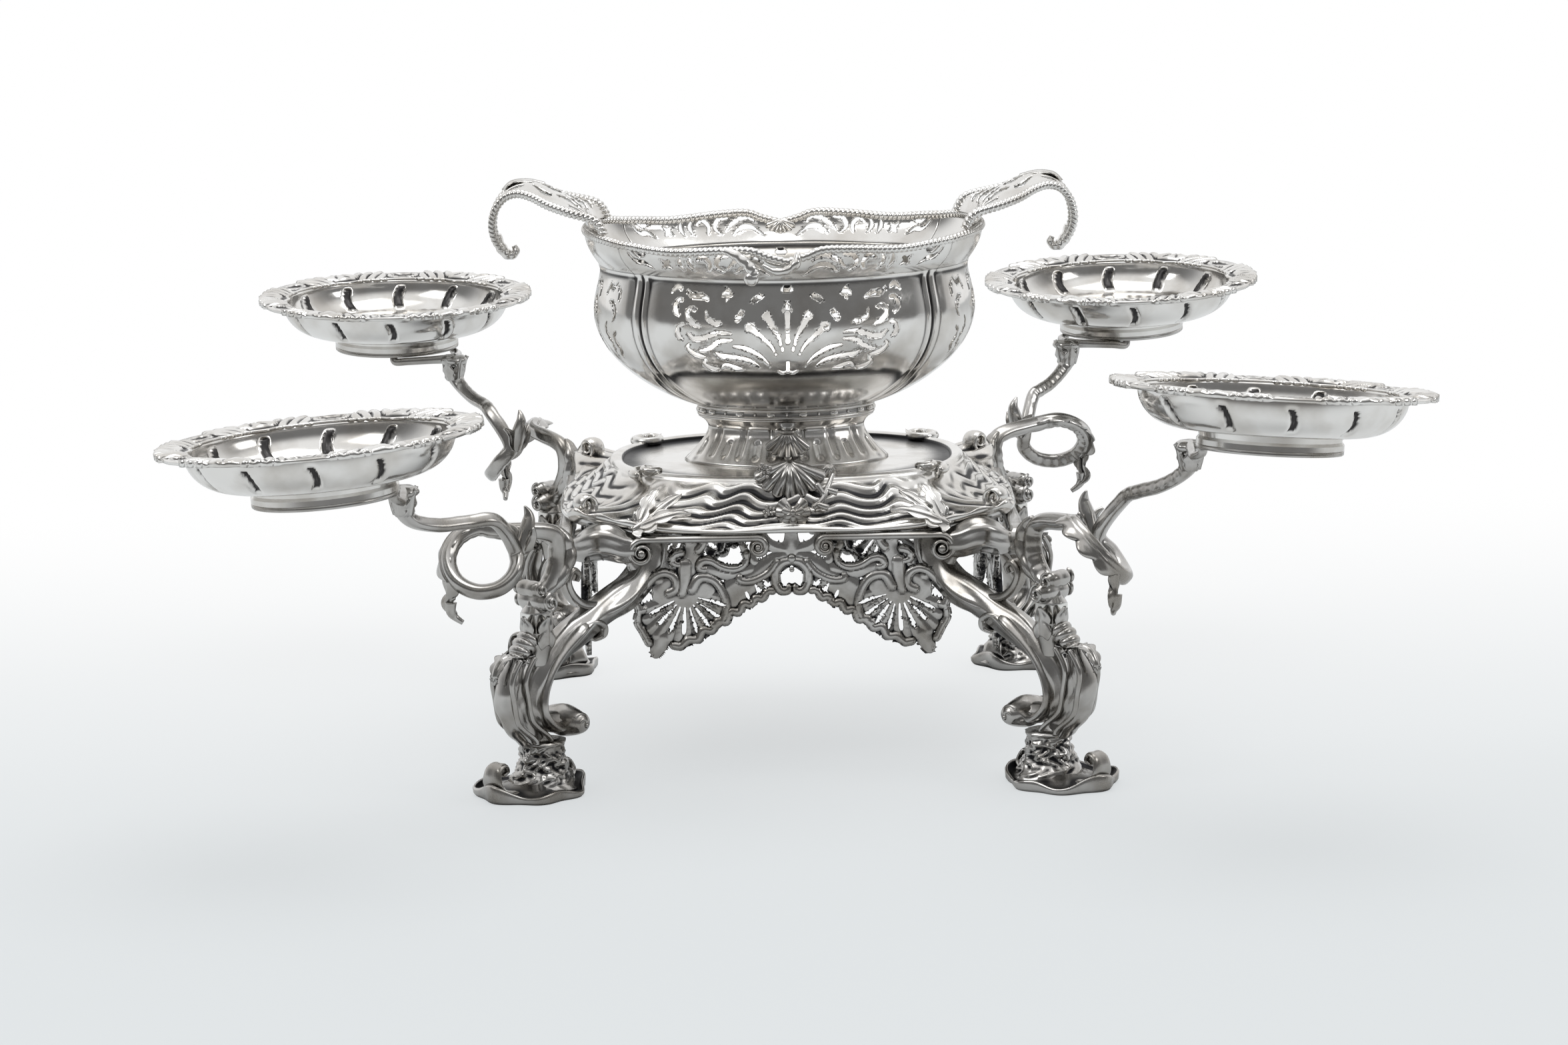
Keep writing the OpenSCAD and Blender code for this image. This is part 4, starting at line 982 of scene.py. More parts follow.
def berries(middle, count, spread, lean, size):
    """Berries on an open spiral about a middle: each turns on by the same angle, and its
    distance grows with the root of its number."""
    shells = []
    for k in range(count):
        r = spread * math.sqrt(k)
        off = (r * math.cos(BERRY_TURN * k), -lean * r, r * math.sin(BERRY_TURN * k))
        shells.append(ball(np.add(middle, off), (size, size, size), 6, 10))
    return shells


def cartouche():
    """Scallops, coral twig and berries over the platform's edge, at the front and the rear."""
    sheets = []
    for sizes, tip, turn, hinge in SCALLOPS:
        tipped = moved(scallop(*sizes), lambda p: leaned(p, (-tip, 0), (0, 0, 0)))
        sheets.append(moved(tipped, lambda p: turned(p, turn, hinge)))
    tie = np.linspace(0, 2 * np.pi, 40)
    lumps = [ball((1, -104, -12), (2, 1.6, 2)),
             bar(spline(NECK_LINE, 14), np.linspace(1.6, 2.2, 14), np.linspace(2.6, 5.0, 14), (1, 0, 0), 20,
                 lambda s, a: 1 + 0.12 * np.sin(8 * a)),
             bar(np.column_stack([3.8 * np.cos(tie), -34.5 + 2.4 * np.sin(tie), 0 * tie + 20]), 0.8),
             bar(spline(TWIG, 30), np.linspace(1.9, 1.3, 30), sides=10)]
    for start, end in STUBS:
        lumps.append(bar(np.linspace(start, end, 6), np.linspace(1.5, 1.8, 6), sides=10))
    for cluster in BERRIES:
        lumps += berries(*cluster)
    for side in ("front", "rear"):
        place = lambda p: turned(p + (0, 0, PLATEAU_Z), SIDES[side])
        make(f"shell_fans_{side}", all_moved(sheets, place), "stand", "silver_cast", (f"shell_{side}",),
             wall=1.6, depth=1.3)
        make(f"shell_sprigs_{side}", all_moved(lumps, place), "stand", "silver_cast", depth=0.4)


# Aprons

# Half of an apron's drawing: strokes of X from its middle, height and half width. Every
# stroke is a raised ridge, and together they are the apron's outline
APRON = [
    [(0, 128, 3.2), (0, 122, 4), (0, 117, 6)],
    [(2, 117, 3.5), (9, 119, 3), (13, 122, 2.5), (16, 127, 2.2)],
    [(4, 113, 5.5), (12, 108, 6), (20, 102, 6.5), (29, 96, 8), (36, 90, 8)],
    [(22, 107, 4), (30, 105, 4), (38, 106, 4.5), (46, 106, 6)],
    [(20, 111, 2.5), (24, 116, 2), (26, 120, 1.8)],
    [(50, 96, 10), (57, 95, 12), (64, 95, 11)],
    [(70, 70, 5), (72.5, 65, 4), (73.5, 62, 2.6)],
    [(57, 104, 6), (54, 112, 5.5), (52, 120, 5), (54, 127, 4.5)],
    [(70, 102, 4), (78, 104, 3.5), (84, 109, 3.2), (86, 113, 2.5)],
]
# Raised edges and scrolls of the half drawing, which also belong to its outline
RIDGES = [
    [(53.6, 97, 2.2), (49, 103, 1.9), (41, 101, 1.7), (36, 92, 1.5), (35.5, 84.7, 1.4), (39, 78, 1.3),
     (44, 77.5, 1.2)],
    [(66, 95, 1.8), (62, 97.5, 1.8), (62.5, 103, 1.7), (67, 106, 1.6), (73, 104.5, 1.5), (79, 98, 1.5),
     (83, 91, 1.4), (81.5, 86, 1.3), (79.5, 86.5, 1.2)],
    [(57, 110, 3), (57.5, 102, 2.6), (59, 95, 2)],
    [(8, 111, 1.2), (13, 104.8, 1.3), (21, 101, 1.3), (27.5, 101.2, 1.2), (28, 103.5, 0.9)],
    [(1, 111.5, 1.5), (5, 110.5, 1.7), (8.6, 106, 1.8), (8.6, 99.5, 1.8), (6, 95.6, 1.7), (2.6, 95.2, 1.4),
     (1.8, 97.5, 1.1)],
    [(50, 118, 1.6), (47, 122, 1.5), (50, 125.5, 1.3), (54, 124, 1.1)],
    [(59, 117, 1.6), (63, 115.5, 1.5), (63.5, 111.5, 1.3), (60.5, 110.5, 1.1)],
    [(24, 116, 1), (25, 110.5, 1.1), (30, 107.5, 1.2), (37, 108.5, 1.2), (43, 112, 1.4), (48, 112, 1.6),
     (49.5, 108.5, 1.3), (46.5, 107.5, 1)],
    [(10.4, 95.4, 1.3), (13.5, 95, 1.4), (16, 91.4, 1.5), (19.5, 91.8, 1.4), (22, 87.8, 1.5),
     (26, 88.6, 1.4), (28.5, 84, 1.5), (33, 84.4, 1.4), (35.5, 79, 1.5), (40, 79.4, 1.4),
     (43, 74.4, 1.5), (48, 74.6, 1.4),
     (51, 69.6, 1.5), (56, 69.4, 1.4), (60, 66, 1.5), (64, 66.5, 1.4)],
    [(82, 86, 1.3), (83, 80, 1.3), (80, 74, 1.3), (77, 68, 1.3)],
]
RIDGE_H = 1.7
# Slots in the wing beside the middle
SLOTS = [
    [(12.6, 96.5, 0.3), (13.9, 99, 1.1), (15.6, 102, 0.4)],
    [(16.8, 92.8, 0.3), (18.2, 95.9, 1.1), (19.6, 99, 0.4)],
    [(23, 90, 0.3), (23.9, 92.8, 1), (24.8, 95.6, 0.3)],
]
# The shell's hinge, and its edge as angles in degrees and radii
FAN_X, FAN_Z = 57, 94
# The drawing's half width and heights, how far its sheet lies inside the platform's edge on
# the front and on the sides, and how much wider the side aprons are
APRON_HALF, APRON_LOW, APRON_HIGH = 90, 57, 127.6
FRONT_INSET, SIDE_INSET = 9.6, 14.6
SIDE_STRETCH = 66 / 57
FAN_EDGE = ((180, 20), (225, 24), (270, 28), (300, 30), (315, 31), (340, 25.5))


def apron_fan():
    """The shell's plates, which fan out from its hinge to its edge, and the slots between its
    ribs."""
    def at(deg, r):
        return FAN_X + r * math.cos(math.radians(deg)), FAN_Z + r * math.sin(math.radians(deg))

    plates = []
    for deg in range(184, 341, 12):
        far = np.interp(deg, *zip(*FAN_EDGE))
        plates.append([(*at(deg, 4), 2.4), (*at(deg, far * 0.6), 3), (*at(deg, far - 3), 3.4)])
    slots = [[(*at(deg, 7), 0.5), (*at(deg, 14), 1.1), (*at(deg, 20), 1.4), (*at(deg, 22), 0.5)]
             for deg in np.linspace(196, 332, 8)]
    return plates, slots


def apron_plate(scale):
    """Sheet of an apron: kept where a plate, the fan or a ridge covers it and no slot is cut.
    The plates swell a little, and each ridge lifts the sheet by a half round."""
    fan, slots = apron_fan()
    plates, cuts = APRON + RIDGES + fan, SLOTS + slots

    def field(x, z):
        x = np.abs(x) / scale
        return np.minimum(-strokes_gap(x, z, plates), strokes_gap(x, z, cuts))

    def surface(x, z):
        half = np.abs(x) / scale
        lift = 0.9 * smooth(0, 4, -strokes_gap(half, z, plates))
        for stroke in RIDGES:
            for cx, cz, r in spline(stroke, 8 * len(stroke)):
                far = ((half - cx) ** 2 + (z - cz) ** 2) / r ** 2
                dome = 0.6 + RIDGE_H * np.sqrt(np.maximum(1 - far, 0))
                np.maximum(lift, dome, out=lift, where=far < 1)
        return np.stack([x, -lift, z], -1)

    across = np.linspace(-APRON_HALF * scale, APRON_HALF * scale, 272)
    return pierced(field, surface, across, np.linspace(APRON_LOW, APRON_HIGH, 111))


def aprons():
    """Four cast and pierced aprons between the legs."""
    bosses = [ball((0, -3.5, 113), (2.3, 1.4, 2.3)), ball((0, -3.5, 107), (1.4, 1.1, 1.4))]
    for side, turn in SIDES.items():
        long_side = turn % 180 == 0
        plane = LIP_B - FRONT_INSET if long_side else LIP_A - SIDE_INSET
        plate = apron_plate(1 if long_side else SIDE_STRETCH)
        change = lambda p: turned(p + (0, -plane, 0), turn)
        make(f"apron_cast_{side}", [moved(plate, change)], "stand", "silver_cast", (f"apron_{side}",),
             wall=2.6)
        make(f"apron_boss_{side}", all_moved(bosses, change), "stand", "silver_cast")


# Legs, feet and sockets

# Middle lines in a leg's upright plane: distance out from the platform's corner, and height
LEG_LINE = [(0, 126.5), (0.5, 118), (6, 106), (20, 96), (40, 89), (60, 80), (78, 70), (88, 59),
            (91.5, 48), (89, 41), (81, 36.5), (70, 35.5)]
CHANNEL = [(46, 84.5), (56, 84), (66, 78), (77, 69), (85, 58), (88, 47), (85, 39), (77, 33.5), (67, 33)]
SPINE = [(84, 87), (93, 81), (101, 72)]
OUTER_LEAF = [(99, 74), (105, 62), (105.5, 51), (101, 41), (94, 33), (90, 27.5)]
LEAF_CURL = [(98, 73), (105, 76), (112, 74), (116, 67), (115, 62)]
TUFT = [(96, 73), (100, 71), (105, 66), (108, 58)]
ARM_SCROLL = [(14, 103), (26, 97.5), (40, 93.5), (52, 95), (60, 101), (63.5, 109), (60, 114.5),
              (55.5, 112), (57, 108.5)]
# Middle of the snail under the leg, and the outer and inner curls of a foot from its middle
SNAIL_X, SNAIL_Z = 67, 35
FOOT_SCROLL = [(15, 4), (23, 4.5), (27, 10), (26, 17), (21.5, 19), (19, 15.5), (21.5, 13.5)]
FOOT_TONGUE = [(-16, 5), (-22, 5), (-26, 9), (-24, 14.5), (-20, 14)]
# Section of a foot's base: share of its reach, height and share of its edge's lift
FOOT_BASE = ((0.3, 0, 0), (0.96, 0, 0), (1, 1.4, 0.1), (1.01, 4, 0.9), (0.98, 5, 1), (0.95, 4, 0.9),
             (0.86, 2.4, 0.3), (0.62, 4, 0.1), (0.4, 7, 0))
ACROSS_LEG = (0, 1, 0)
SPUR_CURL = [(58, 84), (50, 86), (43.5, 83), (43, 77.5), (47, 75.5)]


def in_plane(points, count, lateral=0):
    """Curve through points of distance out and height, in the leg's upright plane."""
    p = np.asarray(points, float)
    return spline(np.column_stack([p[:, 0], np.full(len(p), lateral), p[:, 1]]), count)


def at_leg(corner):
    """Change from a leg's own place to its corner."""
    sx, sy, turn = CORNERS[corner][:3]
    return lambda p: turned(p, turn, (sx * LEG_X, sy * LEG_Y, 0))


def plane_bar(points, thick, wide, sides, flute, count):
    """Bar in the leg's plane through some points, with half sizes at even stops."""
    return bar(in_plane(points, count), lengthwise(count, *thick), lengthwise(count, *wide), ACROSS_LEG,
               sides, flute)


def leg_shells():
    """A leg: lumpy arm and C-scroll, smooth channel on its inner side, beaded spine, hollow
    outer leaf whose tip curls out, snail below, scroll on the arm and trumpet curl."""
    def lumps(s, a):
        ridges = 1 - 0.14 * bump(np.cos(a) ** 2 - 0.25, 0.12)
        return ridges + 0.1 * np.sin(38 * s + 3 * np.cos(a)) * np.cos(2 * a)

    hollow = lambda s, a: 1 - 0.3 * bump(np.sin(a), 0.5) * (np.cos(a) < 0)
    beads = lambda s, a: 0.8 + 0.24 * np.abs(np.sin(6 * np.pi * s)) ** 0.7
    scooped = lambda s, a: 1 - 0.42 * bump(np.abs(np.sin(a)) - 1, 0.28) + 0.04 * np.sin(22 * s + 2 * a)
    arm = plane_bar(LEG_LINE, (9, 9, 8.6, 8, 6.6, 5.8, 5), (9.5, 9.5, 9, 8.4, 7, 6.4, 6), 24, lumps, 150)
    channel = plane_bar(CHANNEL, (2, 4, 3.6, 3.2, 3.2, 3.6, 2.4), (5, 10.5, 10, 10, 10.5, 10.5, 8), 28,
                        hollow, 120)
    spine = plane_bar(SPINE, (3.5, 5.2, 5.4, 4), (4.5, 6.4, 6.8, 5), 20, beads, 90)
    leaf = plane_bar(OUTER_LEAF, (3, 6, 7, 7.5, 7.5, 6), (5, 10, 11, 11, 10, 8), 32, scooped, 70)
    wave = 1.3 * np.sin(np.linspace(0, 12, 70))[:, None] * (1, 0, 0)
    edges = [bar(in_plane(np.array(OUTER_LEAF) + (shift, 0), 70, side * 7.4) + wave, 1.4, sides=10)
             for side in (-1, 1) for shift in (-5.5, 4.5)]
    curl = blade(in_plane(LEAF_CURL, 50), lengthwise(50, 7, 8, 6, 4.5, 2), (0.3, 0, 1), cup=-0.1, lobes=5,
                 cut=0.35, vein=1, thick=1.8)
    tuft = blade(in_plane(TUFT, 40), lengthwise(40, 8, 9, 7, 2), (0.8, 0, 0.4), cup=0.2, lobes=3, vein=0.8)
    scroll = plane_bar(ARM_SCROLL, (1.8, 2.6, 2.8, 2.6, 2.3, 1.8), (3, 4.6, 4.6, 4.2, 3.8, 3.2), 20,
                       groove, 110)
    spur = plane_bar(SPUR_CURL, (2.4, 2.8, 2.4, 1.6), (8, 10, 9.5, 6), 20, groove, 70)
    roll = spline([(SNAIL_X, y, SNAIL_Z) for y in (-16, -14, -8, 0, 8, 14, 16)], 48)
    snail = bar(roll, lengthwise(48, 3, 5, 7.2, 8.6, 7.2, 5, 3), sides=36)
    eye = spiral((SNAIL_X, SNAIL_Z), 5.4, 1.2, 40, 1.6)
    rise = np.linspace(13, 16.4, len(eye))[:, None]
    eyes = [bar(eye + rise * (0, side, 0), 1.1, sides=8) for side in (-1, 1)]
    post_line = spline([(KNEE_T, 0, KNEE_Z - down) for down in (18, 12, 6, 3, 0)], 30)
    post = bar(post_line, lengthwise(30, 6, 7, 8.4, 7.6, 8.6), sides=28)
    wrap_line = [(8.4, KNEE_Z - 6), (8.2, KNEE_Z), (8.4, KNEE_Z + 5), (10.5, KNEE_Z + 9)]
    wrap = blade(in_plane(wrap_line, 24), lengthwise(24, 5.5, 6.4, 5.5, 2.5), (1, 0, 0.2), cup=-0.15,
                 lobes=2, cut=0.3, vein=1, thick=1.6)
    sheath = [moved(wrap, lambda p: turned(p, turn, (KNEE_T, 0, 0))) for turn in range(0, 360, 90)]
    return [arm, channel, spine, leaf, *edges, curl, tuft, scroll, spur, snail, *eyes, post, *sheath]


def rough(u, v, seed):
    """Rock-like relief between -1 and 1: products of waves round and up that bend one another."""
    a = np.sin(4 * u + 1.5 * np.sin(3 * v + seed) + seed) * np.cos(3 * v - 1.2 * np.sin(3 * u))
    b = np.sin(9 * u + 2 * np.sin(5 * v)) * np.cos(7 * v + 2 * np.sin(4 * u + seed))
    c = np.sin(17 * u - 3 * v) * np.cos(13 * v + 2 * u)
    return 0.56 * a + 0.34 * b + 0.08 * c


def foot_shells(seed):
    """A rock foot: rough column, thin wavy base whose edge turns up, most at the outer and the
    inner end, a scroll outside and a tongue inside."""
    u = np.linspace(0, 2 * np.pi, 120, endpoint=False)[None, :]
    s = np.linspace(0, 1, 34)[:, None]
    stone = rough(u, 3.4 * s, seed)
    stone = np.sign(stone) * np.abs(stone) ** 0.7
    r = 11.5 + 9 * (1 - s) ** 2.4 + 1.3 * smooth(0.9, 1, s)
    r = r + 1.9 * stone * np.sin(np.pi * np.clip(s, 0.03, 0.97)) ** 0.5
    z = 2.5 + (FOOT_H - 2.7) * s + 0.5 * stone * (1 - s) * s
    rock = np.stack([LEG_REACH - ROCK_INSET + r * np.cos(u), r * np.sin(u), z], -1)
    edge = FOOT_R * (1.1 - 0.06 * np.sin(u) ** 2) + 1.4 * np.sin(7 * u + seed)
    lift = 1.5 * np.sin(5 * u + 2 * seed) + 4 * bump(np.sin(u), 0.5)
    share, height, part = (np.array(column)[:, None] for column in zip(*FOOT_BASE))
    reach = share * edge
    base = np.stack([LEG_REACH + reach * np.cos(u), reach * np.sin(u), height + part * lift], -1)
    middle = (LEG_REACH, 0)
    scroll = plane_bar(np.array(FOOT_SCROLL) + middle, (1.4, 1.8, 1.8, 1.6, 1.2), (8, 8, 6, 5, 3.4), 20,
                       groove, 70)
    tongue = plane_bar(np.array(FOOT_TONGUE) + middle, (1.4, 1.7, 1.5, 1), (6, 8, 6, 3.4), 20, groove, 50)
    return [lattice(rock, wrap_v=True, cap=True), lattice(base, wrap_u=True, wrap_v=True), scroll, tongue]


def legs():
    """Four legs with their rock feet and branch sockets."""
    shells = leg_shells()
    for seed, corner in enumerate(CORNERS):
        change = at_leg(corner)
        make(f"leg_cast_{corner}", all_moved(shells, change), "stand", "silver_cast",
             (f"leg_{corner}",), depth=0.35, rounds=12)
        make(f"foot_rock_{corner}", all_moved(foot_shells(seed + 0.5), change), "stand", "silver_cast",
             (f"foot_{corner}",), rounds=8)
        keep(f"socket_{corner}", "silver_plate")


# Branches and forks

LOOP_R, LOOP_LEAN, LOOP_PITCH = 18.2, 38, 10
BUD = np.array([(-2, -3, -2), (-5, -5, 7), (-7, -7, 16), (-5, -6, 22)])
# A sepal of the bud: shares of its sideways spread, and places from the bud's foot
SEPAL = [(0, (0, 0, 0)), (0.8, (-1, -1, 4)), (1.3, (-2, -2, 10)), (2, (-1, -1, 14))]
# Rolls at a branch's foot: height, radius, half length and push outwards
FOOT_ROLLS = ((6.2, 5.4, 12, 0), (13.2, 4.2, 9, 4))
PEG_HALF, PEG_LOW, PEG_HIGH = 3.5, -7.5, 1.0
LOOP_MIDDLE = np.array([26, 25, 33.0])


def at_branch(corner):
    """Change from a branch's own place to its corner."""
    sx, sy, _, turn = CORNERS[corner][:4]
    t = KNEE_T * DIAGONAL
    return lambda p: turned(p, turn, (sx * (LEG_X + t), sy * (LEG_Y + t), BRANCH_Z))


def settled(corner):
    """How far a branch's end has settled, along the branch's own directions."""
    return turned(np.array([CORNERS[corner][5]], float), -CORNERS[corner][3])[0]


def loop_point(degrees, r=LOOP_R):
    """Point on the leaning loop; it drifts sideways as the stem goes round."""
    a, lean = np.radians(degrees), math.radians(LOOP_LEAN)
    drift = LOOP_PITCH * (90 - degrees) / 360 - LOOP_PITCH / 2
    up = r * np.sin(a)
    return LOOP_MIDDLE + (r * np.cos(a), drift - up * math.sin(lean), up * math.cos(lean))


def branch_line(shift):
    """The stem's middle line from its foot, round the loop and out to its fork."""
    end = BRANCH_REACH
    tail = [((18, 36, 56), 0.15), ((32, 42, 59), 0.5), ((46, 50, 61), 0.8),
            ((end - 5, end - 5, BRANCH_H - 14), 1), ((end, end, BRANCH_H - 7), 1),
            ((end, end, BRANCH_H), 1)]
    foot = [(0, 0, 1), (0, 0, 6), (-8, -6, 16), (-11, -9, 28), (-8, -6, 41)]
    loop = [tuple(loop_point(a)) for a in range(120, -201, -40)]
    return np.array(foot + loop + [tuple(np.array(p) + w * shift) for p, w in tail])


def branch_shells(corner):
    """A branch: reeded stem with a scalloped back, a leaf over its loop that ends in a hooked
    tail, a bud where the arm leaves it, a grooved back leaf and rolled cushions at its foot."""
    n = 240
    stem_r = BRANCH_R * lengthwise(n, 1.15, 1.25, 1.15, 1.05, 1, 1, 1, 0.97, 0.93, 0.9, 0.95, 1.4)

    def scales(s, a):
        back = bump(np.cos(a) + 1, 0.5)
        return 1 + 0.1 * np.cos(3 * a) + 0.1 * np.abs(np.sin(44 * np.pi * s)) * back

    shells = [bar(spline(branch_line(settled(corner)), n), stem_r, sides=28, flute=scales)]
    over = np.array([loop_point(a, LOOP_R + 3.6) for a in np.linspace(125, -35, 60)])
    lean = math.radians(LOOP_LEAN)
    away = unit(unit(over - LOOP_MIDDLE) + 0.9 * np.array([0, math.cos(lean), math.sin(lean)]))
    fall = over[-1] + np.array([(0, 0, 0), (0, -1, -7), (1, -2, -13), (-3, -2, -19)])
    leaf = np.concatenate([over, spline(fall, 24)[1:]])
    face = np.concatenate([away, np.repeat(away[-1:], 23, 0)])
    width = lengthwise(len(leaf), 3, 6.5, 7.4, 7.4, 7, 6, 5.5, 3)
    shells.append(blade(leaf, width, face, cup=-0.35, lobes=7, cut=0.5, vein=1.3, thick=2.2))
    tail = spline(fall[-1] + np.array([(2, 1, 8), (2, 1, 3), (0, 0, 0), (-4, 0, -3)]), 20)
    shells.append(bar(tail, np.linspace(3.2, 1.3, 20), sides=12))
    bud = loop_point(-200) + BUD
    petals = lambda s, a: 1 + 0.14 * np.abs(np.sin(2 * a)) * (1 - s)
    shells.append(bar(spline(bud, 36), lengthwise(36, 2.8, 3.6, 4, 3.3, 2, 0.6), sides=24, flute=petals))
    for side in (-1, 1):
        spread = side * np.array([3.4, -3.4, 0])
        sepal = spline([bud[0] + share * spread + off for share, off in SEPAL], 30)
        shells.append(blade(sepal, lengthwise(30, 2, 3.4, 2.8, 0.6), (-0.6, -0.6, 0.3), cup=0.3, vein=0.7,
                            thick=1.5))
    lateral = np.array([DIAGONAL, -DIAGONAL, 0])
    out = np.array([DIAGONAL, DIAGONAL, 0])
    back = spline([(0, 0, 8), (-10, -8, 15), (-16, -13, 27), (-14, -12, 38), (-9, -9, 44)], 60)
    ribbed = lambda s, a: groove(s, a) * (0.9 + 0.14 * np.abs(np.sin(5 * np.pi * s)))
    shells.append(bar(back, lengthwise(60, 3.2, 4.6, 5, 4, 1.5), lengthwise(60, 4, 6, 6, 4.5, 1.4), lateral,
                      24, ribbed))
    for z, r, half, push in FOOT_ROLLS:
        middle = push * out + (0, 0, z)
        roll = middle + np.linspace(-half, half, 30)[:, None] * lateral
        shells.append(bar(roll, r * lengthwise(30, 0.6, 0.95, 1.05, 1, 1.05, 0.95, 0.6), sides=30))
        for side in (-1, 1):
            flat = spiral((0, 0), r * 0.95, 1, 90, 1.5 * side)
            curl = middle + flat[:, :1] * out + flat[:, 2:] * (0, 0, 1)
            curl = curl + side * (half - 0.6 + np.linspace(0, 2, 90)[:, None]) * lateral
            shells.append(bar(curl, 0.9, sides=8))
    neck = spline([(0, 0, z) for z in (0.05, 0.6, 3, 6)], 12)
    shells.append(bar(neck, lengthwise(12, 7.6, 8, 6.5, 5), sides=28))
    square = PEG_HALF * math.sqrt(2) * np.array([(1, 0), (0, 1), (-1, 0), (0, -1)])
    peg = np.array([[(x, y, z) for x, y in square] for z in (PEG_LOW, PEG_HIGH)])
    shells.append(lattice(peg, wrap_v=True, cap=True))
    return shells


def fork_shells(corner):
    """A fork: calyx of leaves and two prongs that run under the dish's foot ring."""
    shift = settled(corner)
    end = BRANCH_REACH
    calyx = np.array([end, end, BRANCH_H], float)
    grip = RING_D / 2 - 4
    axis = end + FORK_REACH
    turn, lean = CORNERS[corner][3:5]
    lean_x, lean_y = (math.sin(math.radians(a)) for a in lean)
    cup_line = spline([calyx + (0, 0, z) for z in (0.05, 2, 4, 5.5)], 14)
    shells = [bar(cup_line, lengthwise(14, 5.8, 7.6, 7.2, 5), sides=36,
                  flute=lambda s, a: 1 + 0.1 * np.abs(np.sin(3 * a)))]
    sleeve = in_plane([(4.6, -9), (6, -4), (7, 1), (8.6, 4.5)], 24)
    leaf = blade(sleeve, lengthwise(24, 2.6, 4.4, 3.6, 0.8), (1, 0, 0.2), cup=-0.2, lobes=3, cut=0.35,
                 vein=0.9, thick=1.6)
    shells += [moved(leaf, lambda p: turned(p, 72 * k, calyx)) for k in range(5)]
    for order, facing in (([0, 1, 2], 270), ([1, 0, 2], 180)):
        angle = math.radians(turn + facing)
        tip = BRANCH_H + SEAT_RISE - 1.2 + grip * (lean_x * math.sin(angle) - lean_y * math.cos(angle))
        prong = [(end, end, BRANCH_H + 3.2), (end + 0.35 * FORK_REACH, end - 1, BRANCH_H + 2.8),
                 (end + 0.75 * FORK_REACH, end - 1, BRANCH_H + 2.2), (axis - 1, axis - grip - 1, tip - 4),
                 (axis, axis - grip, tip)]
        line = spline(np.array(prong)[:, order], 60)
        shells.append(bar(line, lengthwise(60, 3, 2.4, 2.3, 2.3, 2.2), sides=16))
    return all_moved(shells, lambda p: p + shift)


# Section of the seat ring: inset from the foot ring's outside, and height over the seat
SEAT_LINE = [(7.3, -2.5), (0.4, -2.5), (0, -2.1), (0, -0.1), (3.3, -0.1), (3.3, 2.5), (3.7, 2.9), (7.3, 2.9)]


def seat_ring():
    """The ring of a fork that a dish's foot stands in: its section carried round a circle."""
    a = np.linspace(0, 2 * np.pi, 96, endpoint=False)[:, None]
    inset, z = np.array(SEAT_LINE).T
    r = RING_D / 2 - inset
    return lattice(np.stack([r * np.cos(a), r * np.sin(a), z + 0 * a], -1), wrap_u=True, wrap_v=True)


def branches():
    """Four branches with their forks."""
    ring = seat_ring()
    for corner in CORNERS:
        change = at_branch(corner)
        body = f"arm_{corner}"
        make(f"branch_cast_{corner}", all_moved(branch_shells(corner), change), body, "silver_cast",
             (f"branch_{corner}",), rounds=8)
        fork = all_moved(fork_shells(corner), change) + [moved(ring, at_dish(corner))]
        make(f"fork_cast_{corner}", fork, body, "silver_cast", (f"fork_{corner}",), rounds=6)


# Handles and the rim's ornaments

RIM_X, RIM_TOP = COLLAR_W / 2 + RIM - BASKET_WALL / 2, BASKET_H + 1.6 * ROPE_R
# The handle from the rim to its tail: distance out and height, half width, and rise of its middle
HANDLE_SIDE = [(-1, 3), (2, 11), (11, 15), (20, 18.5), (28, 22), (36, 23.5), (43.5, 21), (49, 14), (51, 5),
               (49.5, -3), (46, -9)]
HANDLE_HALF = [42, 41, 38, 31, 24, 18, 14, 11, 9, 7, 5]
HANDLE_DOME = [0, 1.5, 5, 6.5, 6, 4, 2, 1, 0.5, 0, 0]
# Curl of the tail from the handle's tip, and the leaf bud from its middle
HANDLE_TAIL = [(3, 0, 8), (1, 0, 2), (-2, 0, -2), (-5, 0, -3), (-7.5, 0, -1), (-6.5, 0, 2)]
HANDLE_BUD = [(-14, 0, -0.5), (-5, 0, 1.6), (4, 0, 0.6), (9, 0, -4)]


def handle_point(along, across):
    """Place on the handle's strap: along from the rim to the tail, across from -1 to 1. Its
    root follows the arc of the rim's end."""
    dense = spline(np.column_stack([HANDLE_SIDE, HANDLE_HALF, HANDLE_DOME]), 200)
    s = np.linspace(0, 1, 200)
    x, z, half, dome = (np.interp(along, s, dense[:, k]) for k in range(4))
    y = half * across
    arc = OVAL_END_R + RIM
    bow = 0.75 * (np.sqrt(arc ** 2 - y ** 2) - arc) * (1 - smooth(0, 0.35, along))
    return np.stack([RIM_X + x + bow, y, BASKET_Z + RIM_TOP + z + dome * (1 - across ** 2)], -1)


# Half of what is cut through a handle's strap: share along, share across, half width
HANDLE_CUTS = [
    [(0.07, 0.0, 0.012), (0.12, 0.0, 0.03), (0.2, 0.0, 0.012)],
    [(0.07, 0.3, 0.01), (0.12, 0.38, 0.035), (0.19, 0.3, 0.03), (0.25, 0.42, 0.01)],
    [(0.08, 0.66, 0.01), (0.13, 0.7, 0.03), (0.19, 0.66, 0.01)],
    [(0.23, 0.0, 0.012), (0.28, 0.12, 0.03), (0.34, 0.0, 0.012)],
    [(0.28, 0.55, 0.01), (0.33, 0.6, 0.03), (0.4, 0.42, 0.012)],
    [(0.38, 0.0, 0.012), (0.44, 0.0, 0.035), (0.5, 0.0, 0.012)],
    [(0.46, 0.5, 0.01), (0.52, 0.55, 0.03), (0.58, 0.5, 0.01)],
    [(0.55, 0.0, 0.012), (0.61, 0.0, 0.03), (0.67, 0.0, 0.01)],
]


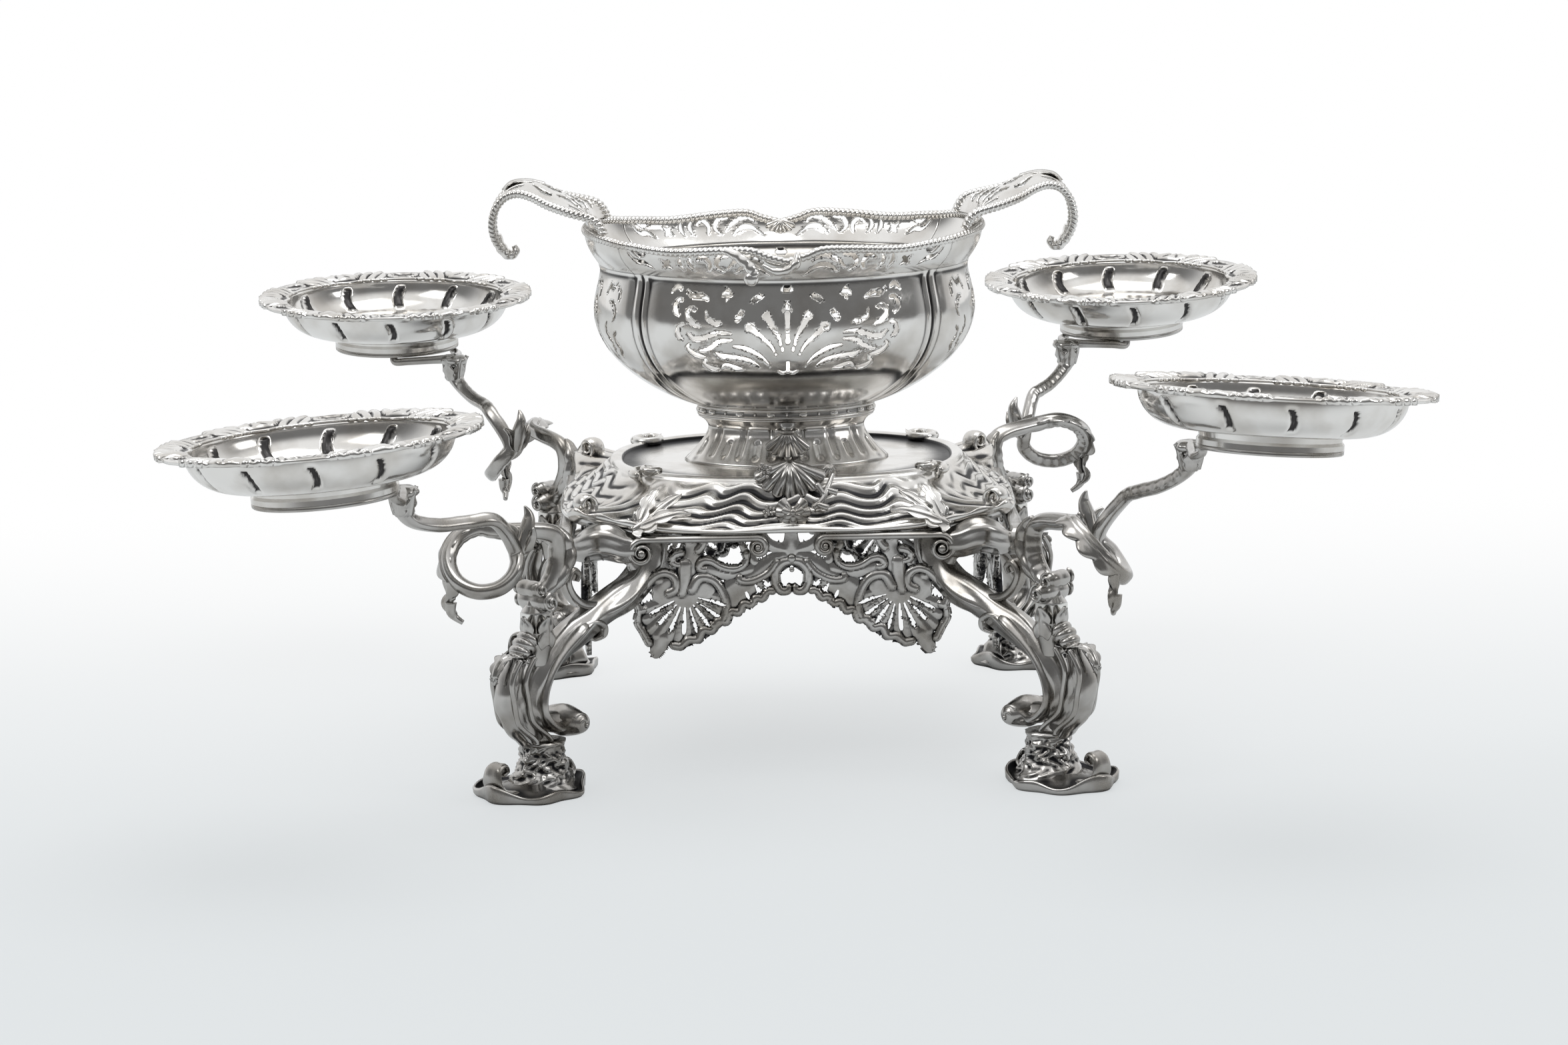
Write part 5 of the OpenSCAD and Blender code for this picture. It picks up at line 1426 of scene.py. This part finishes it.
def handles():
    """Two handles: a pierced strap between two rope rails that meet in a curled tail."""
    long, broad, swell = 3.0, 0.45, 1.6
    cuts = [[(x * long, y * broad, r * swell) for x, y, r in cut] for cut in HANDLE_CUTS]
    field = lambda along, across: strokes_gap(along * long, np.abs(across) * broad, cuts)
    strap = pierced(field, handle_point, np.linspace(0, 0.86, 130), np.linspace(-1, 1, 52))
    s = np.linspace(0, 1, 420)
    rails = [rope(handle_point(s, np.full(len(s), side)), 2.8 - 0.7 * s, 5.2, depth=ROPE_DEPTH)
             for side in (-1.0, 1.0)]
    tip = handle_point(np.array([1.0]), np.array([0.0]))[0]
    knob = spline(tip + np.array(HANDLE_TAIL), 40)
    tail = bar(knob, lengthwise(40, 2.6, 3, 2.8, 2.2, 1.6), lengthwise(40, 4.5, 5, 4.4, 3.4, 2), (0, 1, 0),
               18, lambda t, a: 1 + 0.08 * np.sin(10 * np.pi * t))
    peak = handle_point(np.array([0.5]), np.array([0.0]))[0]
    ridge = spline(peak + np.array(HANDLE_BUD), 30)
    bud = blade(ridge, lengthwise(30, 2, 6, 6, 2), (0, 0, 1), cup=-0.1, lobes=4, vein=0.9, thick=1.6)
    for hand, turn in HANDS.items():
        change = lambda p: turned(p, turn)
        make(f"handle_strap_{hand}", [moved(strap, change)], "basket", "silver_bright", (f"handle_{hand}",),
             wall=1.3, depth=0.3, rounds=6)
        make(f"handle_rails_{hand}", all_moved(rails + [tail, bud], change), "basket", "silver_bright",
             depth=0.3, rounds=5)


# The front clasp's two scrolls, from the rim's front under its edge
CLASP_LEFT = [(-34, -1, 7), (-27, -2.5, 4), (-20, -3.5, -2), (-17, -3.5, -7)]
CLASP_RIGHT = [(6, -1, 5), (5, -3, 0), (0, -3.5, -4), (-7, -3.5, -4.5), (-13, -3.5, -1)]
CLASP_KNOB = (-19, -4, -8)


def rim_clasps():
    """Two leafy scrolls that clasp the front of the rim, one ending in a knob, and a small
    shell at the rear."""
    rim_y, edge_z = COLLAR_D / 2 + RIM, BASKET_Z + BASKET_H
    front = np.array([0, -rim_y, edge_z - 3])
    notched = lambda s, a: 0.9 + 0.14 * np.abs(np.sin(5 * np.pi * s)) + 0.06 * np.cos(3 * a)
    left, right = spline(front + np.array(CLASP_LEFT), 40), spline(front + np.array(CLASP_RIGHT), 50)
    shells = [bar(left, lengthwise(40, 1.6, 2.6, 3, 3.4), sides=20, flute=notched),
              bar(right, lengthwise(50, 1.6, 2.6, 2.5, 2.2, 1), sides=20, flute=notched),
              ball(front + np.array(CLASP_KNOB), (4.2, 3.2, 4))]
    make("rim_clasp_front", shells, "basket", "silver_bright", depth=0.3, rounds=5)
    fan = moved(scallop(75, 8.5, 7, 1.6, 0.8), lambda p: p + (0, rim_y - 2.6, edge_z - 1))
    make("rim_shell_rear", [fan], "basket", "silver_bright", wall=1.0, depth=0.3, rounds=5)


# Stage

CAMERA_PLACE = np.array([-45.4, -2475.1, 578.9])
CAMERA_YAW, CAMERA_PITCH, CAMERA_ROLL = 1.003, 10.634, -0.886
CAMERA_FOCUS_PX, PICTURE_W = 6807.2, 2352
SENSOR_MM = 36
FLOOR_HALF = 9.0
# Places along Y, in metres, over which the floor's painted glow for the camera goes from bluish grey to
# white, and the shares of that glow there, which leave the rest to its lit shading and shadows: painted
# light that thins the shadows
FLOOR_FADE = (-0.55, 0.7)
FLOOR_GLOW_SHARE = (0.62, 1.0)
# Places along Y over which the floor grows from dark to pale for the metal: the dark is painted shade, a
# stand-in for the dark room that the metal reflects in front
FLOOR_ROOM_SHADE = (-1.5, -0.4)


def axes(x, y, z, place):
    """Matrix of an object whose own axes lie along x, y and z, at a place in metres."""
    matrix = np.eye(4)
    matrix[:3] = np.column_stack([x, y, z, place])
    return Matrix(matrix)


def place_and_sight(tree, coordinates):
    """Two nodes: a place split into X, Y and Z, and what tells the camera's rays from others."""
    place, split = tree.nodes.new("ShaderNodeTexCoord"), tree.nodes.new("ShaderNodeSeparateXYZ")
    link(tree, place, coordinates, split, "Vector")
    return split, tree.nodes.new("ShaderNodeLightPath")


def camera():
    """Camera at the photograph's angle: turned, tipped and rolled by the fitted angles."""
    yaw, pitch, roll = (math.radians(a) for a in (CAMERA_YAW, CAMERA_PITCH, CAMERA_ROLL))
    ahead = np.array([math.sin(yaw) * math.cos(pitch), math.cos(yaw) * math.cos(pitch), -math.sin(pitch)])
    right = np.array([math.cos(yaw), -math.sin(yaw), 0])
    up = np.cross(right, ahead)
    x = right * math.cos(roll) + up * math.sin(roll)
    y = up * math.cos(roll) - right * math.sin(roll)
    lens = bpy.data.cameras.new("view")
    lens.sensor_width = SENSOR_MM
    lens.lens = SENSOR_MM * CAMERA_FOCUS_PX / PICTURE_W
    lens.clip_end = 50
    eye = bpy.data.objects.new("view", lens)
    eye.matrix_world = axes(x, y, -ahead, CAMERA_PLACE * MM)
    bpy.context.scene.collection.objects.link(eye)
    bpy.context.scene.camera = eye


def floor():
    """Pale floor. For the camera it has a painted glow, bluish grey near and white far back, that lightens
    its shadows;
    for the metal it is dark in front: painted shade that stands for the dark room behind the camera."""
    u = np.linspace(-FLOOR_HALF, FLOOR_HALF, 9)
    points = np.stack([u[:, None] + 0 * u, u + 0 * u[:, None], 0 * u * u[:, None]], -1)
    verts, quads, _ = lattice(points)
    mesh = bpy.data.meshes.new("floor")
    mesh.from_pydata(verts.tolist(), [], quads.tolist())
    ground = bpy.data.objects.new("floor", mesh)
    bpy.context.scene.collection.objects.link(ground)
    paint = bpy.data.materials.new("pale_floor")
    paint.use_nodes = True
    tree = paint.node_tree
    new = tree.nodes.new
    surface = tree.nodes["Principled BSDF"]
    surface.inputs["Roughness"].default_value = 0.85
    split, sight = place_and_sight(tree, "Object")
    room_shade_tint, glow_tone, white = new("ShaderNodeMix"), new("ShaderNodeMix"), new("ShaderNodeEmission")
    both, leave = new("ShaderNodeMixShader"), tree.nodes["Material Output"]
    room_shade_tint.data_type = glow_tone.data_type = "RGBA"
    # Painted shade: the dark floor colour that the metal sees and reflects in front, in place of the room
    # behind the camera
    room_shade_tint.inputs["A"].default_value = (0.2, 0.2, 0.2, 1)
    room_shade_tint.inputs["B"].default_value = (0.68, 0.7, 0.71, 1)
    # Painted light: colour of the floor's glow for the camera, bluish grey near the stand and white far back
    glow_tone.inputs["A"].default_value = (0.73, 0.765, 0.78, 1)
    glow_tone.inputs["B"].default_value = (1, 1, 1, 1)
    # Ramp from the painted dark in front to pale, for every ray but the camera's
    pale = ramp(tree, split, "Y", FLOOR_ROOM_SHADE)
    seen = combined(tree, "MAXIMUM", (pale, "Result"), (sight, "Is Camera Ray"))
    fade = ramp(tree, split, "Y", FLOOR_FADE)
    # Share of painted glow, for camera rays only, mixed over the floor's shading so that its shadows come
    # out lighter
    plain = ramp(tree, split, "Y", FLOOR_FADE, *FLOOR_GLOW_SHARE)
    clear = combined(tree, "MULTIPLY", (plain, "Result"), (sight, "Is Camera Ray"))
    link(tree, fade, "Result", glow_tone, "Factor")
    link(tree, glow_tone, "Result", white, "Color")
    link(tree, seen, "Value", room_shade_tint, "Factor")
    link(tree, room_shade_tint, "Result", surface, "Base Color")
    link(tree, clear, "Value", both, "Fac")
    link(tree, surface, "BSDF", both, 1)
    link(tree, white, "Emission", both, 2)
    link(tree, both, "Shader", leave, "Surface")
    mesh.materials.append(paint)


# Soft boxes: name, place and size in metres, and watts. All are aimed at the stand's middle
SOFT_BOXES = (("key", (-1.7, -0.9, 2.0), 1.1, 12), ("fill", (1.9, -0.7, 1.3), 0.8, 6),
              ("top", (0.2, 0.3, 2.6), 1.6, 20))
LIT_MIDDLE = (0, 0, 0.15)


def soft_box(name, place, size, watts):
    """Square soft lamp at a place, aimed at the stand's middle."""
    lamp = bpy.data.lights.new(name, "AREA")
    lamp.size = size
    lamp.energy = watts
    holder = bpy.data.objects.new(name, lamp)
    back = unit(np.subtract(place, LIT_MIDDLE))
    side = unit(np.cross((0, 0, 1.0), back))
    holder.matrix_world = axes(side, np.cross(back, side), back, place)
    bpy.context.scene.collection.objects.link(holder)


# Directions along Y and along Z over which the room grows bright, and its tone from dark to bright
BRIGHT_BEHIND, BRIGHT_ABOVE, ROOM_TONE = (-0.4, 0.8), (0.4, 0.9), (0.19, 1.0)


def lights():
    """Studio light: bright above and behind, dark on the camera's side so that the metal has
    something to show, white for the camera itself, and three soft boxes."""
    world = bpy.data.worlds.new("studio")
    bpy.context.scene.world = world
    world.use_nodes = True
    tree = world.node_tree
    new = tree.nodes.new
    room, leave = tree.nodes["Background"], tree.nodes["World Output"]
    split, sight = place_and_sight(tree, "Generated")
    clear, both = new("ShaderNodeBackground"), new("ShaderNodeMixShader")
    clear.inputs["Color"].default_value = (1, 1, 1, 1)
    behind = ramp(tree, split, "Y", BRIGHT_BEHIND)
    above = ramp(tree, split, "Z", BRIGHT_ABOVE)
    level = combined(tree, "MAXIMUM", (behind, "Result"), (above, "Result"))
    tone = ramp(tree, level, "Value", (0, 1), *ROOM_TONE)
    link(tree, tone, "Result", room, "Color")
    link(tree, sight, "Is Camera Ray", both, "Fac")
    link(tree, room, "Background", both, 1)
    link(tree, clear, "Background", both, 2)
    link(tree, both, "Shader", leave, "Surface")
    for name, place, size, watts in SOFT_BOXES:
        soft_box(name, place, size, watts)


platform()
edge_scrolls()
stem()
collar()
cartouche()
aprons()
legs()
basket()
basket_rim()
handles()
rim_clasps()
branches()
dishes()
floor()
lights()
camera()
bpy.context.scene.view_settings.view_transform = "Standard"
